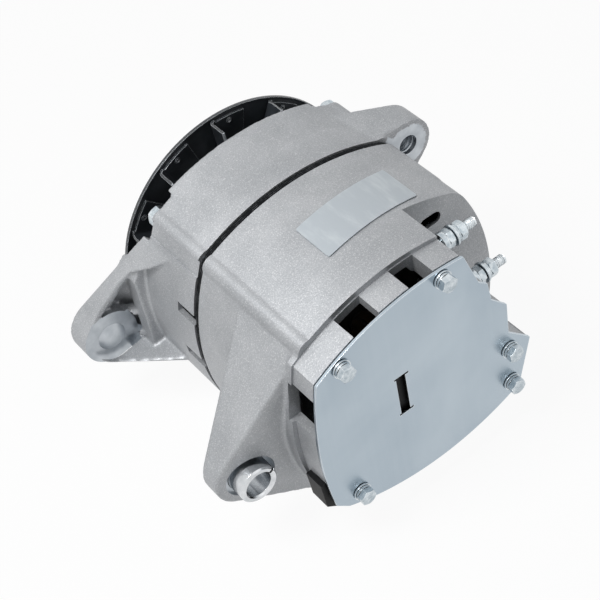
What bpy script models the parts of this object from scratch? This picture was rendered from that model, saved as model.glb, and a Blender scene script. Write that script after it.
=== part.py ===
"""Engine-driven charging alternator with a hinge mount.

Metres, +Z up. The shaft lies along Y with the fan toward +Y. Each piece is built about the shaft's
axis, with y = 0 on the rear frame's joint face, where the stator core shows between the two frames.
The whole is then moved, so that the origin lies on the ground below the middle of its box.
"""

import math

import bmesh
import bpy
from mathutils import Matrix, Vector

# Fits
GAP = 0.0003                 # between pieces that touch or are pressed together
RUNNING_GAP = 0.0005         # between rotor and stator

# Casing section: a square with bowed sides and round corners
HALF_FLAT = 0.066            # axis to the middle of a bowed side
SIDE_BOW = 0.110             # radius of a bowed side
CORNER_RADIUS = 0.016
SIDE_STEPS = 7               # odd, so that the casing stands on one level facet
CORNER_STEPS = 3
ROUND_STEPS = 24             # sides of a large round piece
SMALL_STEPS = 12             # and of a small one

# Stations along the axis, rear to front
PLATE_THICK = 0.002
POD_REAR = -0.0837           # rear face of the rear frame, which the plate closes
SHOULDER = -0.070            # where the full casing section ends
PARTITION_REAR = -0.047
PARTITION_THICK = 0.006
JOINT = 0.0                  # front face of the rear frame
BAND = 0.0038                # length of core that shows between the frames
DRIVE_FRONT = 0.0457         # front face of the drive-end frame
DRIVE_WALL = 0.0075
FAN_REAR = 0.0632            # rear face of the fan disc

# Walls
CASING_WALL = 0.0058
SKIRT_WALL = 0.0024          # where a frame laps over the core
POD_WALL = 0.0048

# Through bolts in the corner ridges
TIE_RADIUS = HALF_FLAT + 0.0036
RIDGE_RADIUS = 0.0056
TIE_SHANK = 0.0029
TIE_HEAD_FLATS = 0.010
TIE_HEAD_HEIGHT = 0.0045
TIE_END = -0.030

# Core and winding
CORE_REAR = -0.0152
CORE_FRONT = 0.0190
BORE_RADIUS = 0.0462
SLOTS = 36
SLOT_DEPTH = 0.0088
SLOT_SHARE = 0.52            # of the slot pitch at the bore
COIL_OUTER = 0.0570
COIL_FRONT = 0.0325
COIL_REAR = -0.0290

# Rotor
SHAFT_CORE = 0.0110
POLE_RADIUS = BORE_RADIUS - RUNNING_GAP
POLE_FRONT = 0.0220
POLE_REAR = -0.0182
POLE_DISC = 0.0110
POLE_FINGERS = 6
POLE_HUB = 0.0230
POLE_RECESS = 0.0080         # of the discs' rims inside the fingers' faces
FINGER_ROOT = 12.5           # half the finger's width at each end, in degrees
FINGER_TIP = 6.5
FINGER_TIP_THICK = 0.0045
COIL_BOBBIN = 0.0016
FIELD_RADIUS = 0.0345

# Front bearing
FRONT_BORE = 0.0085
FRONT_OUTSIDE = 0.0235
FRONT_WIDTH = 0.014
FRONT_LIP = 0.0024
FRONT_HUB_WALL = 0.0065
SNAP_THICK = 0.0016
SNAP_REACH = 0.0020
SNAP_GROOVE = 0.0014
SNAP_OPENING = 0.0100
SNAP_SHOULDER = 0.0020       # hub metal behind the ring's groove

# Rear bearing
REAR_BORE = 0.0075
REAR_OUTSIDE = 0.0175
REAR_WIDTH = 0.011
REAR_LIP = 0.0020
REAR_HUB_WALL = 0.0045
RACE_SHARE = 0.27            # of the section between bore and outside, for each ring
BALLS = 7
CAGE_WALL = 0.0012

# Slip rings and shaft ends
RING_RADIUS = 0.0120
RING_WIDTH = 0.0055
RING_SPACE = 0.0016
SLEEVE_WALL = 0.0020
SLIP_REAR = -0.0752
SHAFT_REAR = -0.0780
REAR_SHAFT = 0.0065
THREAD_RADIUS = 0.0080
SHAFT_FRONT = 0.0980
NUT_FLATS = 0.0240
NUT_HEIGHT = 0.0130
WASHER_THICK = 0.0025
WASHER_RADIUS = 0.0150

# Fan
FAN_RADIUS = 0.0650
FAN_THICK = 0.0020
FAN_BLADES = 12
BLADE_FIRST = 63.0           # degrees up from +X, seen from the rear
BLADE_THICK = 0.0014
BLADE_DEPTH = 0.0118
BLADE_OUTER = 0.0640
BLADE_INNER = 0.0360
BLADE_SWEEP = 3.0            # degrees that the inner end lags by
FOOT_SPAN = 17.0             # degrees of the spot-welded foot
FOOT_INNER = 0.0480
FOOT_LENGTH = 0.0150         # of the bend that joins foot and blade
FOOT_EDGE = 0.0008
FAN_CLEARANCE = 0.0020
SPACER_RADIUS = 0.0130

# Hinge lugs and adjusting ear
HINGE_X = -0.0856
HINGE_Z = -0.0141
FRONT_LUG_REAR = 0.0555
FRONT_LUG_THICK = 0.0145
FRONT_LUG_RADIUS = 0.0147
FRONT_LUG_BORE = 0.0073
REAR_LUG_FRONT = -0.0455
REAR_LUG_THICK = 0.0105
REAR_LUG_RADIUS = 0.0163
REAR_SPOT_RADIUS = 0.0130     # spot faces round the bush
REAR_SPOT_PROUD = 0.0010
FRONT_SPOT_RADIUS = 0.0150
BUSH_OUTER = 0.00955
BUSH_BORE = 0.0064
BUSH_PROUD = 0.0100
BUSH_SLIT = 0.0014
ARM_WALL = 0.0046
ARM_TOP = 0.0235             # of the arm's root below the top of the casing
ARM_LOW = 0.0420             # and above its bottom
ARM_RIB = 0.0030
ARM_RIB_Z = 0.0020
ARM_BACKING = 0.0740         # how far out the wall behind the fan's sweep reaches
FLANGE_DEPTH = 0.0125        # of the relief that shapes the top flange's rear edge
FLANGE_EDGE = [              # that edge: way down the flange from the casing, and station
    (-0.0060, 0.0160), (0.0, 0.0208), (0.0219, 0.0462), (0.0371, 0.0520), (0.0620, 0.0552),
]
EAR_X = 0.0651
EAR_Z = 0.0407
EAR_REAR = 0.0044
EAR_LENGTH = 0.0156
EAR_RADIUS = 0.0132
EAR_THREAD = 0.0051

# Terminals
STUD_Y = -0.0630
STUD_RADIUS = 0.0025
STUD_REACH = 0.0195          # from the pod's wall to the tip
STUD_FLATS = 0.0080
STUD_NUT = 0.0046
STUD_WASHER = 0.0022
STUD_WASHER_RADIUS = 0.0052
STUD_HEAD = 0.0035
OUTPUT_Z = 0.0500
GROUND_Z = 0.0160
NOTCH_LOW = 0.0355           # its lower end above the casing's bottom
INSULATOR_RADIUS = 0.0046

# Plate screws
SCREW_SHANK = 0.0021
SCREW_FLATS = 0.0074
SCREW_HEAD = 0.0036
SCREW_WASHER = 0.0018
SCREW_WASHER_RADIUS = 0.0046
SCREW_DEPTH = 0.0120
SCREW_BOSS = 0.0054

# Blank label
LABEL_X = 0.0075
LABEL_Y = -0.0335
LABEL_WIDTH = 0.052
LABEL_LENGTH = 0.0235
LABEL_SKEW = 0.09
LABEL_THICK = 0.0004

# Rectifier and regulator
SINK_REAR = -0.0580
SINK_THICK = 0.0040
SINK_INNER = 0.0265
POSITIVE_OUTER = 0.0480
POSITIVE_SPAN = (62.0, 159.0)
NEGATIVE_OUTER = 0.0425
NEGATIVE_SPAN = (201.0, 334.0)
DIODE_CIRCLE = 0.0345
DIODE_RADIUS = 0.0062
DIODE_HEIGHT = 0.0080
DIODE_LEAD = 0.0009
POSITIVE_DIODES = (86.0, 116.0, 146.0)
NEGATIVE_DIODES = (214.0, 244.0, 312.0)
SINK_POSTS = (71.0, 101.0, 131.0, 229.0, 290.0, 329.0)
POST_RADIUS = 0.0024
INSULATOR_THICK = 0.0012
INSULATOR_FLANGE = 0.0030
TAB_THICK = 0.0020
REGULATOR_WIDTH = 0.0200
REGULATOR_HEIGHT = 0.0130
BRUSH_WIDTH = 0.0060
BRUSH_THICK = 0.0044
BRUSH_LENGTH = 0.0130
HOLDER_WALL = 0.0030
HOLDER_FLOOR = 0.0020
HOLDER_BOTTOM = -0.0360
HOLDER_CLEAR = 0.0018        # from the slip rings down to the holder
SPRING_RADIUS = 0.0014
SPRING_WIRE = 0.0003
SPRING_TURNS = 4
COVER_WALL = 0.0016
COVER_SETBACK = 0.0024      # of the skirt's front edge from the shoulder

ALUMINIUM = ((0.56, 0.57, 0.58), 0.55, 0.9)
ZINC = ((0.55, 0.62, 0.68), 0.30, 1.0)
BRIGHT_STEEL = ((0.70, 0.71, 0.72), 0.25, 1.0)
BLACK_PAINT = ((0.02, 0.022, 0.024), 0.45, 0.1)
LAMINATION = ((0.10, 0.10, 0.11), 0.55, 0.6)
COPPER = ((0.55, 0.20, 0.08), 0.40, 0.9)
BRASS = ((0.70, 0.50, 0.22), 0.35, 1.0)
PLASTIC = ((0.015, 0.015, 0.016), 0.50, 0.0)
CARBON = ((0.04, 0.04, 0.045), 0.60, 0.2)
FOIL = ((0.62, 0.66, 0.70), 0.35, 0.6)
IRON = ((0.30, 0.30, 0.31), 0.50, 0.9)


def clear_scene():
    for item in list(bpy.data.objects):
        bpy.data.objects.remove(item, do_unlink=True)


def solid(name, bm):
    """A scene object from this mesh, with outward normals."""
    bmesh.ops.recalc_face_normals(bm, faces=bm.faces)
    mesh = bpy.data.meshes.new(name)
    bm.to_mesh(mesh)
    bm.free()
    item = bpy.data.objects.new(name, mesh)
    bpy.context.scene.collection.objects.link(item)
    return item


def prism(outline, y_low, y_high, name="shape"):
    """A straight solid along Y whose section is this outline of (x, z) points."""
    bm = bmesh.new()
    low = [bm.verts.new((x, y_low, z)) for x, z in outline]
    high = [bm.verts.new((x, y_high, z)) for x, z in outline]
    bm.faces.new(low)
    bm.faces.new(high[::-1])
    for i in range(len(low)):
        j = (i + 1) % len(low)
        bm.faces.new((low[i], high[i], high[j], low[j]))
    return solid(name, bm)


def turned(profile, name="shape", steps=ROUND_STEPS):
    """A solid of revolution about Y from a closed profile of (radius, y) points."""
    bm = bmesh.new()
    rings = []
    for radius, y in profile:
        if radius == 0:
            rings.append([bm.verts.new((0, y, 0))] * steps)
            continue
        angles = [2 * math.pi * i / steps for i in range(steps)]
        rings.append([bm.verts.new((radius * math.cos(a), y, radius * math.sin(a))) for a in angles])
    for here, there in zip(rings, rings[1:] + rings[:1]):
        for i in range(steps):
            j = (i + 1) % steps
            corners = list(dict.fromkeys((here[i], there[i], there[j], here[j])))
            if len(corners) > 2:
                bm.faces.new(corners)
    return solid(name, bm)


def rod(radius, y_low, y_high, x=0.0, z=0.0, steps=ROUND_STEPS, name="shape"):
    item = turned([(0, y_low), (radius, y_low), (radius, y_high), (0, y_high)], name, steps)
    item.data.transform(Matrix.Translation((x, 0, z)))
    return item


def tube(inner, outer, y_low, y_high, x=0.0, z=0.0, steps=ROUND_STEPS, name="shape"):
    item = turned([(inner, y_low), (outer, y_low), (outer, y_high), (inner, y_high)], name, steps)
    item.data.transform(Matrix.Translation((x, 0, z)))
    return item


def rods(radius, y_low, y_high, places):
    return [rod(radius, y_low, y_high, x, z, SMALL_STEPS) for x, z in places]


def box(low, high, name="shape"):
    outline = [(low[0], low[2]), (high[0], low[2]), (high[0], high[2]), (low[0], high[2])]
    return prism(outline, low[1], high[1], name)


def hull(points, name="shape"):
    bm = bmesh.new()
    for point in points:
        bm.verts.new(point)
    made = bmesh.ops.convex_hull(bm, input=bm.verts)
    bmesh.ops.delete(bm, geom=list(set(made["geom_interior"] + made["geom_unused"])), context="VERTS")
    return solid(name, bm)


def combine(body, tool, operation):
    """Applies one Boolean to the body and removes the tool."""
    modifier = body.modifiers.new("combine", "BOOLEAN")
    modifier.object = tool
    modifier.operation = operation
    modifier.solver = "EXACT"
    graph = bpy.context.evaluated_depsgraph_get()
    result = bpy.data.meshes.new_from_object(body.evaluated_get(graph))
    body.modifiers.clear()
    body.data = result
    bpy.data.objects.remove(tool, do_unlink=True)


def add(body, *tools):
    for tool in tools:
        combine(body, tool, "UNION")
    return body


def cut(body, *tools):
    for tool in tools:
        combine(body, tool, "DIFFERENCE")
    return body


def group(items, name="shape"):
    """One object that holds these separate solids."""
    bm = bmesh.new()
    for item in items:
        bm.from_mesh(item.data)
        bpy.data.objects.remove(item, do_unlink=True)
    return solid(name, bm)


def along_x(item, x, y, z):
    """Lays a mesh that was built along +Y along +X and moves it there."""
    item.data.transform(Matrix.Translation((x, y, z)) @ Matrix.Rotation(-math.pi / 2, 4, "Z"))
    return item


def circle(radius, steps, x=0.0, z=0.0, start=0.0):
    angles = [start + 2 * math.pi * i / steps for i in range(steps)]
    return [(x + radius * math.cos(a), z + radius * math.sin(a)) for a in angles]


def hexagon(flats, x=0.0, z=0.0):
    return circle(flats / math.sqrt(3), 6, x, z, math.pi / 6)


def polar(radius, degrees):
    angle = math.radians(degrees)
    return radius * math.cos(angle), radius * math.sin(angle)


def sector(inner, outer, start, end, steps=4):
    """The outline of a ring's sector, in degrees."""
    turns = [start + (end - start) * i / steps for i in range(steps + 1)]
    return [polar(outer, t) for t in turns] + [polar(inner, t) for t in reversed(turns)]


def casing_outline(inset=0.0):
    """The bowed square, this far inside the casing's outer surface."""
    bow = SIDE_BOW - inset
    corner = CORNER_RADIUS - inset
    beyond = SIDE_BOW - HALF_FLAT
    reach = (math.sqrt(2 * (bow - corner) ** 2 - beyond**2) - beyond) / 2
    half_turn = math.atan2(reach, reach + beyond)
    points = []
    for side in range(4):
        base = side * math.pi / 2
        for i in range(SIDE_STEPS + 1):
            a = base - half_turn + 2 * half_turn * i / SIDE_STEPS
            points.append(
                (
                    bow * math.cos(a) - beyond * math.cos(base),
                    bow * math.sin(a) - beyond * math.sin(base),
                )
            )
        corner_x, corner_z = polar(reach * math.sqrt(2), math.degrees(base) + 45)
        for i in range(1, CORNER_STEPS):
            a = base + half_turn + (math.pi / 2 - 2 * half_turn) * i / CORNER_STEPS
            points.append((corner_x + corner * math.cos(a), corner_z + corner * math.sin(a)))
    return points


def arc(start, end, rise, steps):
    """Points from start up to end, on an arc that bulges this far to the right of the way there."""
    first, last = Vector(start), Vector(end)
    chord = last - first
    side = Vector((chord.y, -chord.x)).normalized()
    radius = (chord.length**2 / 4 + rise**2) / (2 * rise)
    centre = (first + last) / 2 + side * (rise - radius)
    sweep = 2 * math.asin(chord.length / (2 * radius))
    spoke = first - centre
    points = []
    for i in range(steps):
        a = sweep * i / steps
        points.append((
            centre.x + spoke.x * math.cos(a) - spoke.y * math.sin(a),
            centre.y + spoke.x * math.sin(a) + spoke.y * math.cos(a),
        ))
    return points


def plate_right_edge():
    """The plate's cut-away side, from its top corner down past the terminals."""
    half = HALF_FLAT
    return [
        (half - 0.0118, -half + 0.0527),
        (half - 0.0238, -half + 0.0650),
        (half - 0.0234, -half + 0.0835),
        (half - 0.0315, half - 0.0395),
        (half - 0.0328, half - 0.0280),
        (half - 0.0372, half - 0.0242),
        (half - 0.0438, half - 0.0036),
    ]


def plate_outline(inset=0.0):
    """The rear plate's outline, against the clock seen from +Y, drawn in from the casing's flats."""
    half = HALF_FLAT
    right = plate_right_edge()
    top_left = (-half + 0.0074, half - 0.0196)
    low_left = (-half + 0.0043, -half + 0.0336)
    bottom_left = (-half + 0.0106, -half + 0.0275)
    bottom_right = (half - 0.0231, -half + 0.0253)
    low_right = (half - 0.0190, -half + 0.0299)
    points = [low_right, *right[:-1]]
    points += arc(right[-1], top_left, 0.0074, 10)
    points += arc(top_left, low_left, 0.0038, 8)
    points.append(low_left)
    points += arc(bottom_left, bottom_right, 0.0105, 12)
    points.append(bottom_right)
    return offset(points, inset) if inset else points


def offset(points, inset):
    """The outline moved inward by this much, with mitred corners."""
    moved = []
    count = len(points)
    for i in range(count):
        before, here, after = (Vector(points[(i + k) % count]) for k in (-1, 0, 1))
        first = (here - before).normalized()
        second = (after - here).normalized()
        normal_a = Vector((-first.y, first.x))
        normal_b = Vector((-second.y, second.x))
        mitre = (normal_a + normal_b) / (1 + normal_a.dot(normal_b))
        moved.append(tuple(here + mitre * inset))
    return moved


def tie_places():
    return [polar(TIE_RADIUS, 45 + 90 * k) for k in range(4)]


def screw_places():
    """The five screws of the rear plate."""
    half = HALF_FLAT
    return [
        (-half + 0.0205, half - 0.0180),
        (half - 0.0560, half - 0.0075),
        (-half + 0.0180, -half + 0.0320),
        (half - 0.0245, -half + 0.0545),
        (half - 0.0250, -half + 0.0325),
    ]


def frame_hollow(open_end, lap_end, closed_end):
    """The hollow of a frame: a thin-walled part that laps over the core, then the rest.

    The columns round the through bolts stay.
    """
    outward = math.copysign(0.001, open_end - closed_end)
    hollow = prism(casing_outline(SKIRT_WALL), *sorted((open_end + outward, lap_end)))
    add(hollow, prism(casing_outline(CASING_WALL), *sorted((lap_end + outward, closed_end))))
    low, high = sorted((open_end + 2 * outward, closed_end - outward))
    return cut(hollow, *rods(RIDGE_RADIUS, low, high, tie_places()))


def ring_at(radius, y, x, z, steps=SMALL_STEPS):
    return [(px, y, pz) for px, pz in circle(radius, steps, x, z)]


def front_arm():
    """The drive-end hinge arm: a shell that is open to the rear, with a boss and a rib in it."""
    top, low = HALF_FLAT - ARM_TOP, -HALF_FLAT + ARM_LOW
    root_x = -HALF_FLAT + 0.0090
    lug_front = FRONT_LUG_REAR + FRONT_LUG_THICK
    skin = DRIVE_FRONT - 0.0002
    points = ring_at(FRONT_LUG_RADIUS, FRONT_LUG_REAR, HINGE_X, HINGE_Z)
    points += ring_at(FRONT_LUG_RADIUS, lug_front, HINGE_X, HINGE_Z)
    points += [
        (root_x, skin, top), (root_x, skin - 0.0230, top), (root_x, skin, low),
        (root_x, skin - 0.0270, low),
    ]
    arm = hull(points)
    backing = hull(
        [(root_x, y, z) for y in (skin - 0.0045, skin - 0.0003) for z in (low + 0.0012, top - 0.0012)]
        + [(-ARM_BACKING, y, z) for y in (skin - 0.0030, skin + 0.0085) for z in (low + 0.0025, top - 0.0220)]
    )
    hollow_radius = FRONT_LUG_RADIUS - ARM_WALL
    points = ring_at(hollow_radius, BAND, HINGE_X, HINGE_Z, 12)
    points += ring_at(hollow_radius, lug_front - ARM_WALL - 0.001, HINGE_X, HINGE_Z, 12)
    for y in (BAND, skin - ARM_WALL):
        points += [(root_x, y, top - ARM_WALL), (root_x, y, low + ARM_WALL)]
    hollow = cut(hull(points), prism(casing_outline(-0.0010), BAND - 0.001, DRIVE_FRONT + 0.010))
    cut(arm, hollow)
    cut(arm, flange_relief())
    boss_x = HINGE_X + FRONT_LUG_RADIUS / 2
    rib = hull([
        (x, y, z)
        for x, back in ((boss_x, FRONT_LUG_REAR + 0.0020), (root_x, skin - 0.0170))
        for y in (back, back + 0.0080)
        for z in (ARM_RIB_Z, ARM_RIB_Z + ARM_RIB)
    ])
    boss = rod(
        FRONT_LUG_RADIUS - 0.0004, FRONT_LUG_REAR - 0.001, lug_front - 0.001, HINGE_X, HINGE_Z, 20,
    )
    return add(arm, boss, backing, rib)


def flange_relief():
    """What is taken from the arm's top flange, whose rear edge bends on its way to the lug."""
    top_x, top_z = -HALF_FLAT + 0.0090, HALF_FLAT - ARM_TOP + 0.0005
    reach = Vector((HINGE_X - top_x, HINGE_Z - top_z))
    turn = math.atan2(reach.y, reach.x) - math.asin(FRONT_LUG_RADIUS / reach.length)
    down, out = (math.cos(turn), math.sin(turn)), (math.sin(turn), -math.cos(turn))
    outline = [*FLANGE_EDGE, (FLANGE_EDGE[-1][0], 0.0), (FLANGE_EDGE[0][0], 0.0)]
    relief = prism(outline, -FLANGE_DEPTH, 0.006)
    place = Matrix((
        (down[0], out[0], 0, top_x), (0, 0, 1, 0), (down[1], out[1], 0, top_z), (0, 0, 0, 1),
    ))
    relief.data.transform(place)
    return relief


def adjusting_ear():
    """The threaded boss at the upper right, blended into the corner of the drive-end frame."""
    front = EAR_REAR + EAR_LENGTH
    points = ring_at(EAR_RADIUS, EAR_REAR, EAR_X, EAR_Z) + ring_at(EAR_RADIUS, front, EAR_X, EAR_Z)
    high_x, high_z = HALF_FLAT - 0.0190, HALF_FLAT - 0.0105
    low_x, low_z = HALF_FLAT - 0.0035, HALF_FLAT - 0.0500
    points += [(high_x, EAR_REAR + 0.001, high_z), (high_x - 0.004, front + 0.0110, high_z + 0.002)]
    points += [(low_x, EAR_REAR + 0.001, low_z), (low_x, front + 0.0080, low_z)]
    return hull(points)


def drive_end_frame():
    core_lap = CORE_FRONT + GAP
    groove = front_bearing_low() - SNAP_THICK - 2 * GAP
    hub_rear = groove - SNAP_SHOULDER
    hub_radius = FRONT_OUTSIDE + FRONT_HUB_WALL
    body = prism(casing_outline(), BAND, DRIVE_FRONT, "drive_end_frame")
    add(body, *rods(RIDGE_RADIUS, BAND, DRIVE_FRONT, tie_places()))
    add(body, front_arm(), adjusting_ear())
    cut(body, rod(FAN_RADIUS + FAN_CLEARANCE, DRIVE_FRONT, FAN_REAR + 0.020))
    cut(body, rod(FRONT_LUG_RADIUS + 0.0006, JOINT, FRONT_LUG_REAR, HINGE_X, HINGE_Z, 28))
    hollow = frame_hollow(BAND, core_lap, DRIVE_FRONT - DRIVE_WALL)
    cut(body, cut(hollow, rod(hub_radius, hub_rear, DRIVE_FRONT)))
    seat, lip, past = FRONT_OUTSIDE + GAP, SPACER_RADIUS + 0.0015, DRIVE_FRONT + 0.001
    deep, far = FRONT_OUTSIDE + SNAP_GROOVE, groove + SNAP_THICK + 2 * GAP
    cut(body, turned([
        (0, hub_rear - 0.001), (
            seat, hub_rear - 0.001,
        ), (seat, groove), (deep, groove), (deep, far), (seat, far),
        (seat, DRIVE_FRONT - FRONT_LIP), (lip, DRIVE_FRONT - FRONT_LIP), (lip, past), (0, past),
    ]))
    cut(body, group([
        prism(
            sector(hub_radius + 0.0020, HALF_FLAT - 0.0120, 45 * k + 11, 45 * k + 34), hub_rear,
            DRIVE_FRONT + 0.001,
        )
        for k in range(8)
    ]))
    cut(body, rod(FRONT_LUG_BORE, FRONT_LUG_REAR - 0.020, FRONT_LUG_REAR + 0.020, HINGE_X, HINGE_Z, 32))
    cut(body, rod(EAR_THREAD, EAR_REAR - 0.001, EAR_REAR + EAR_LENGTH + 0.012, EAR_X, EAR_Z, 28))
    cut(body, *rods(TIE_SHANK + GAP, BAND - 0.001, DRIVE_FRONT + 0.001, tie_places()))
    for z in (HALF_FLAT - 0.0480, -HALF_FLAT + 0.0560):
        cut(
            body,
            box((-HALF_FLAT - 0.010, BAND - 0.001, z), (-HALF_FLAT + 0.010, BAND + 0.0130, z + 0.0055)),
        )
    return body


def rear_web():
    """The rear hinge web: a thick root on the casing's left side that thins toward the lug."""
    rear = REAR_LUG_FRONT - REAR_LUG_THICK
    points = ring_at(REAR_LUG_RADIUS, REAR_LUG_FRONT, HINGE_X, HINGE_Z)
    points += ring_at(REAR_LUG_RADIUS, rear, HINGE_X, HINGE_Z)
    left = -HALF_FLAT
    points += [(left + 0.0020, -0.0330, 0.0020), (left + 0.0090, SHOULDER + 0.0030, HALF_FLAT - 0.0270)]
    points += [
        (left + 0.0040, -0.0330, -0.0250), (left + 0.0080, SHOULDER + 0.0090, -HALF_FLAT + 0.0190),
    ]
    web = hull(points)
    rear_spot = rod(REAR_SPOT_RADIUS, rear - 0.030, rear - REAR_SPOT_PROUD, HINGE_X, HINGE_Z, 20)
    front_spot = rod(FRONT_SPOT_RADIUS, REAR_LUG_FRONT, JOINT, HINGE_X, HINGE_Z, 20)
    return cut(web, rear_spot, front_spot)


def terminal_notch():
    """What is cut from the rear frame's upper right, so that the studs stand clear."""
    corner, *edge = offset(plate_outline(), 0.0008)[:8]
    low, far = -HALF_FLAT + NOTCH_LOW, HALF_FLAT + 0.030
    share = (low - corner[1]) / (edge[0][1] - corner[1])
    side = corner[0] + (edge[0][0] - corner[0]) * share
    outline = [(far, low), (side, low), *edge, (edge[-1][0], far), (far, far)]
    return prism(outline, POD_REAR - 0.010, PARTITION_REAR)


def rear_frame():
    core_lap = CORE_REAR - GAP
    hub_front = PARTITION_REAR + PARTITION_THICK + 0.0020
    hub_rear = hub_front - REAR_WIDTH - REAR_LIP - GAP
    body = prism(casing_outline(), SHOULDER, JOINT, "rear_frame")
    add(body, *rods(RIDGE_RADIUS - 0.0010, -0.034, JOINT, tie_places()))
    add(body, rear_web())
    pod = prism(offset(plate_outline(), 0.0004), POD_REAR, SHOULDER + 0.004)
    add(body, pod)
    cut(body, terminal_notch())
    hub = REAR_OUTSIDE + REAR_HUB_WALL
    hollow = frame_hollow(JOINT, core_lap, PARTITION_REAR + PARTITION_THICK)
    cut(body, cut(hollow, rod(hub, PARTITION_REAR, hub_front)))
    hollow = prism(offset(plate_outline(), POD_WALL), POD_REAR - 0.001, PARTITION_REAR)
    cut(hollow, rod(hub, hub_rear, PARTITION_REAR + 0.001))
    cut(hollow, *rods(SCREW_BOSS, POD_REAR - 0.002, PARTITION_REAR + 0.001, screw_places()))
    cut(body, hollow)
    seat, lip = REAR_OUTSIDE + GAP, REAR_BORE + 0.0030
    cut(body, turned([
        (0, hub_rear - 0.001), (lip, hub_rear - 0.001), (lip, hub_rear + REAR_LIP),
        (seat, hub_rear + REAR_LIP), (seat, hub_front + 0.001), (0, hub_front + 0.001),
    ]))
    cut(
        body,
        rod(
            BUSH_OUTER + GAP, REAR_LUG_FRONT - REAR_LUG_THICK - BUSH_PROUD, REAR_LUG_FRONT + 0.005,
            HINGE_X, HINGE_Z, 32,
        ),
    )
    cut(body, *rods(SCREW_SHANK + GAP, POD_REAR - 0.001, POD_REAR + SCREW_DEPTH, screw_places()))
    cut(body, *rods(TIE_SHANK + GAP, TIE_END - 0.001, JOINT + 0.001, tie_places()))
    cut(body, *pod_windows())
    cut(body, group([
        prism(
            sector(hub + 0.0015, 0.0335, a, a + 24), PARTITION_REAR - 0.001,
            PARTITION_REAR + PARTITION_THICK + 0.001,
        )
        for a in (80, 110, 140, 200, 232, 296)
    ]))
    cut(body, oblong_hole())
    head = STUD_FLATS / math.sqrt(3) + 0.0006
    cut(body, stud_hole(OUTPUT_Z, INSULATOR_RADIUS + GAP, INSULATOR_RADIUS + 0.0024))
    cut(body, stud_hole(GROUND_Z, STUD_RADIUS + GAP, head))
    add(body, *sink_posts())
    return body


def pod_windows():
    """The air windows behind the shoulder: in the top, the left side and the bottom."""
    near, far = SHOULDER - 0.0018, POD_REAR - 0.001
    half = HALF_FLAT
    wall = POD_WALL + 0.004
    return [
        box((-half + 0.0315, far, half - 0.022), (-half + 0.0435, near, half + 0.010)),
        box((-half + 0.0615, far, half - 0.016), (-half + 0.0720, near, half + 0.010)),
        box((-half - 0.010, far, 0.0150), (-half + wall + 0.004, near, 0.0365)),
        box((-half - 0.010, far, -half), (-half + 0.0190, near, -0.0170)),
        box((-0.0140, far, -half), (0.0040, near, -half + 0.026)),
    ]


def oblong_hole():
    """The air hole in the floor of the terminal notch."""
    x, z, reach, radius = HALF_FLAT - 0.0305, HALF_FLAT - 0.0190, 0.0028, 0.0035
    points = []
    for side, start in ((1, -90), (-1, 90)):
        for i in range(9):
            a = math.radians(start + 180 * i / 8)
            points.append((x + side * reach + radius * math.cos(a), z + radius * math.sin(a)))
    return prism(points, PARTITION_REAR - 0.001, PARTITION_REAR + PARTITION_THICK + 0.001)


def pod_wall_x(z):
    """The outer face of the pod's right wall at this height."""
    edge = offset(plate_outline(), 0.0008)[1:8]
    for (x0, z0), (x1, z1) in zip(edge, edge[1:]):
        if min(z0, z1) <= z <= max(z0, z1) and z0 != z1:
            return x0 + (x1 - x0) * (z - z0) / (z1 - z0)
    return edge[-1][0]


def stud_hole(z, radius, seat_radius):
    """The hole for a stud, with a spot face inside the wall that clears its head."""
    inside = -POD_WALL - STUD_HEAD - (INSULATOR_FLANGE + TAB_THICK if z == OUTPUT_Z else 0) - 0.0015
    profile = [
        (0, inside), (seat_radius, inside), (seat_radius, -POD_WALL), (radius, -POD_WALL),
        (radius, 0.008), (0, 0.008),
    ]
    return along_x(turned(profile, steps=16), pod_wall_x(z), STUD_Y, z)


def stator_core():
    pitch = 360 / SLOTS
    body = prism(casing_outline(SKIRT_WALL + GAP), CORE_REAR, CORE_FRONT, "stator_core")
    teeth = []
    for k in range(SLOTS):
        mid = k * pitch
        half = pitch * SLOT_SHARE / 2
        teeth += [polar(BORE_RADIUS, mid - pitch / 2), polar(BORE_RADIUS, mid - half)]
        teeth += [
            polar(BORE_RADIUS + SLOT_DEPTH, mid - half), polar(BORE_RADIUS + SLOT_DEPTH, mid + half),
        ]
        teeth += [polar(BORE_RADIUS, mid + half)]
    cut(body, prism(teeth, CORE_REAR - 0.001, CORE_FRONT + 0.001))
    cut(body, *rods(RIDGE_RADIUS + 2 * GAP, CORE_REAR - 0.001, CORE_FRONT + 0.001, tie_places()))
    return body


def stator_winding():
    pitch = 360 / SLOTS
    half = pitch * SLOT_SHARE / 2
    inner = BORE_RADIUS + 0.0016
    front = [
        (inner, CORE_FRONT + GAP), (COIL_OUTER, CORE_FRONT + GAP), (COIL_OUTER, COIL_FRONT - 0.003),
        (COIL_OUTER - 0.003, COIL_FRONT), (inner + 0.002, COIL_FRONT), (inner, COIL_FRONT - 0.002),
    ]
    rear = [
        (inner, CORE_REAR - GAP), (COIL_OUTER, CORE_REAR - GAP), (COIL_OUTER, COIL_REAR + 0.003),
        (COIL_OUTER - 0.003, COIL_REAR), (inner + 0.002, COIL_REAR), (inner, COIL_REAR + 0.002),
    ]
    body = turned(front, "stator_winding", 36)
    add(body, turned(rear, steps=36))
    margin = math.degrees(GAP / BORE_RADIUS)
    bars = []
    for k in range(SLOTS):
        outline = sector(
            inner + 0.0002, BORE_RADIUS + SLOT_DEPTH - GAP, k * pitch - half + margin,
            k * pitch + half - margin, 1,
        )
        bars.append(prism(outline, CORE_REAR - 0.002, CORE_FRONT + 0.002))
    add(body, group(bars))
    return body


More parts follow.
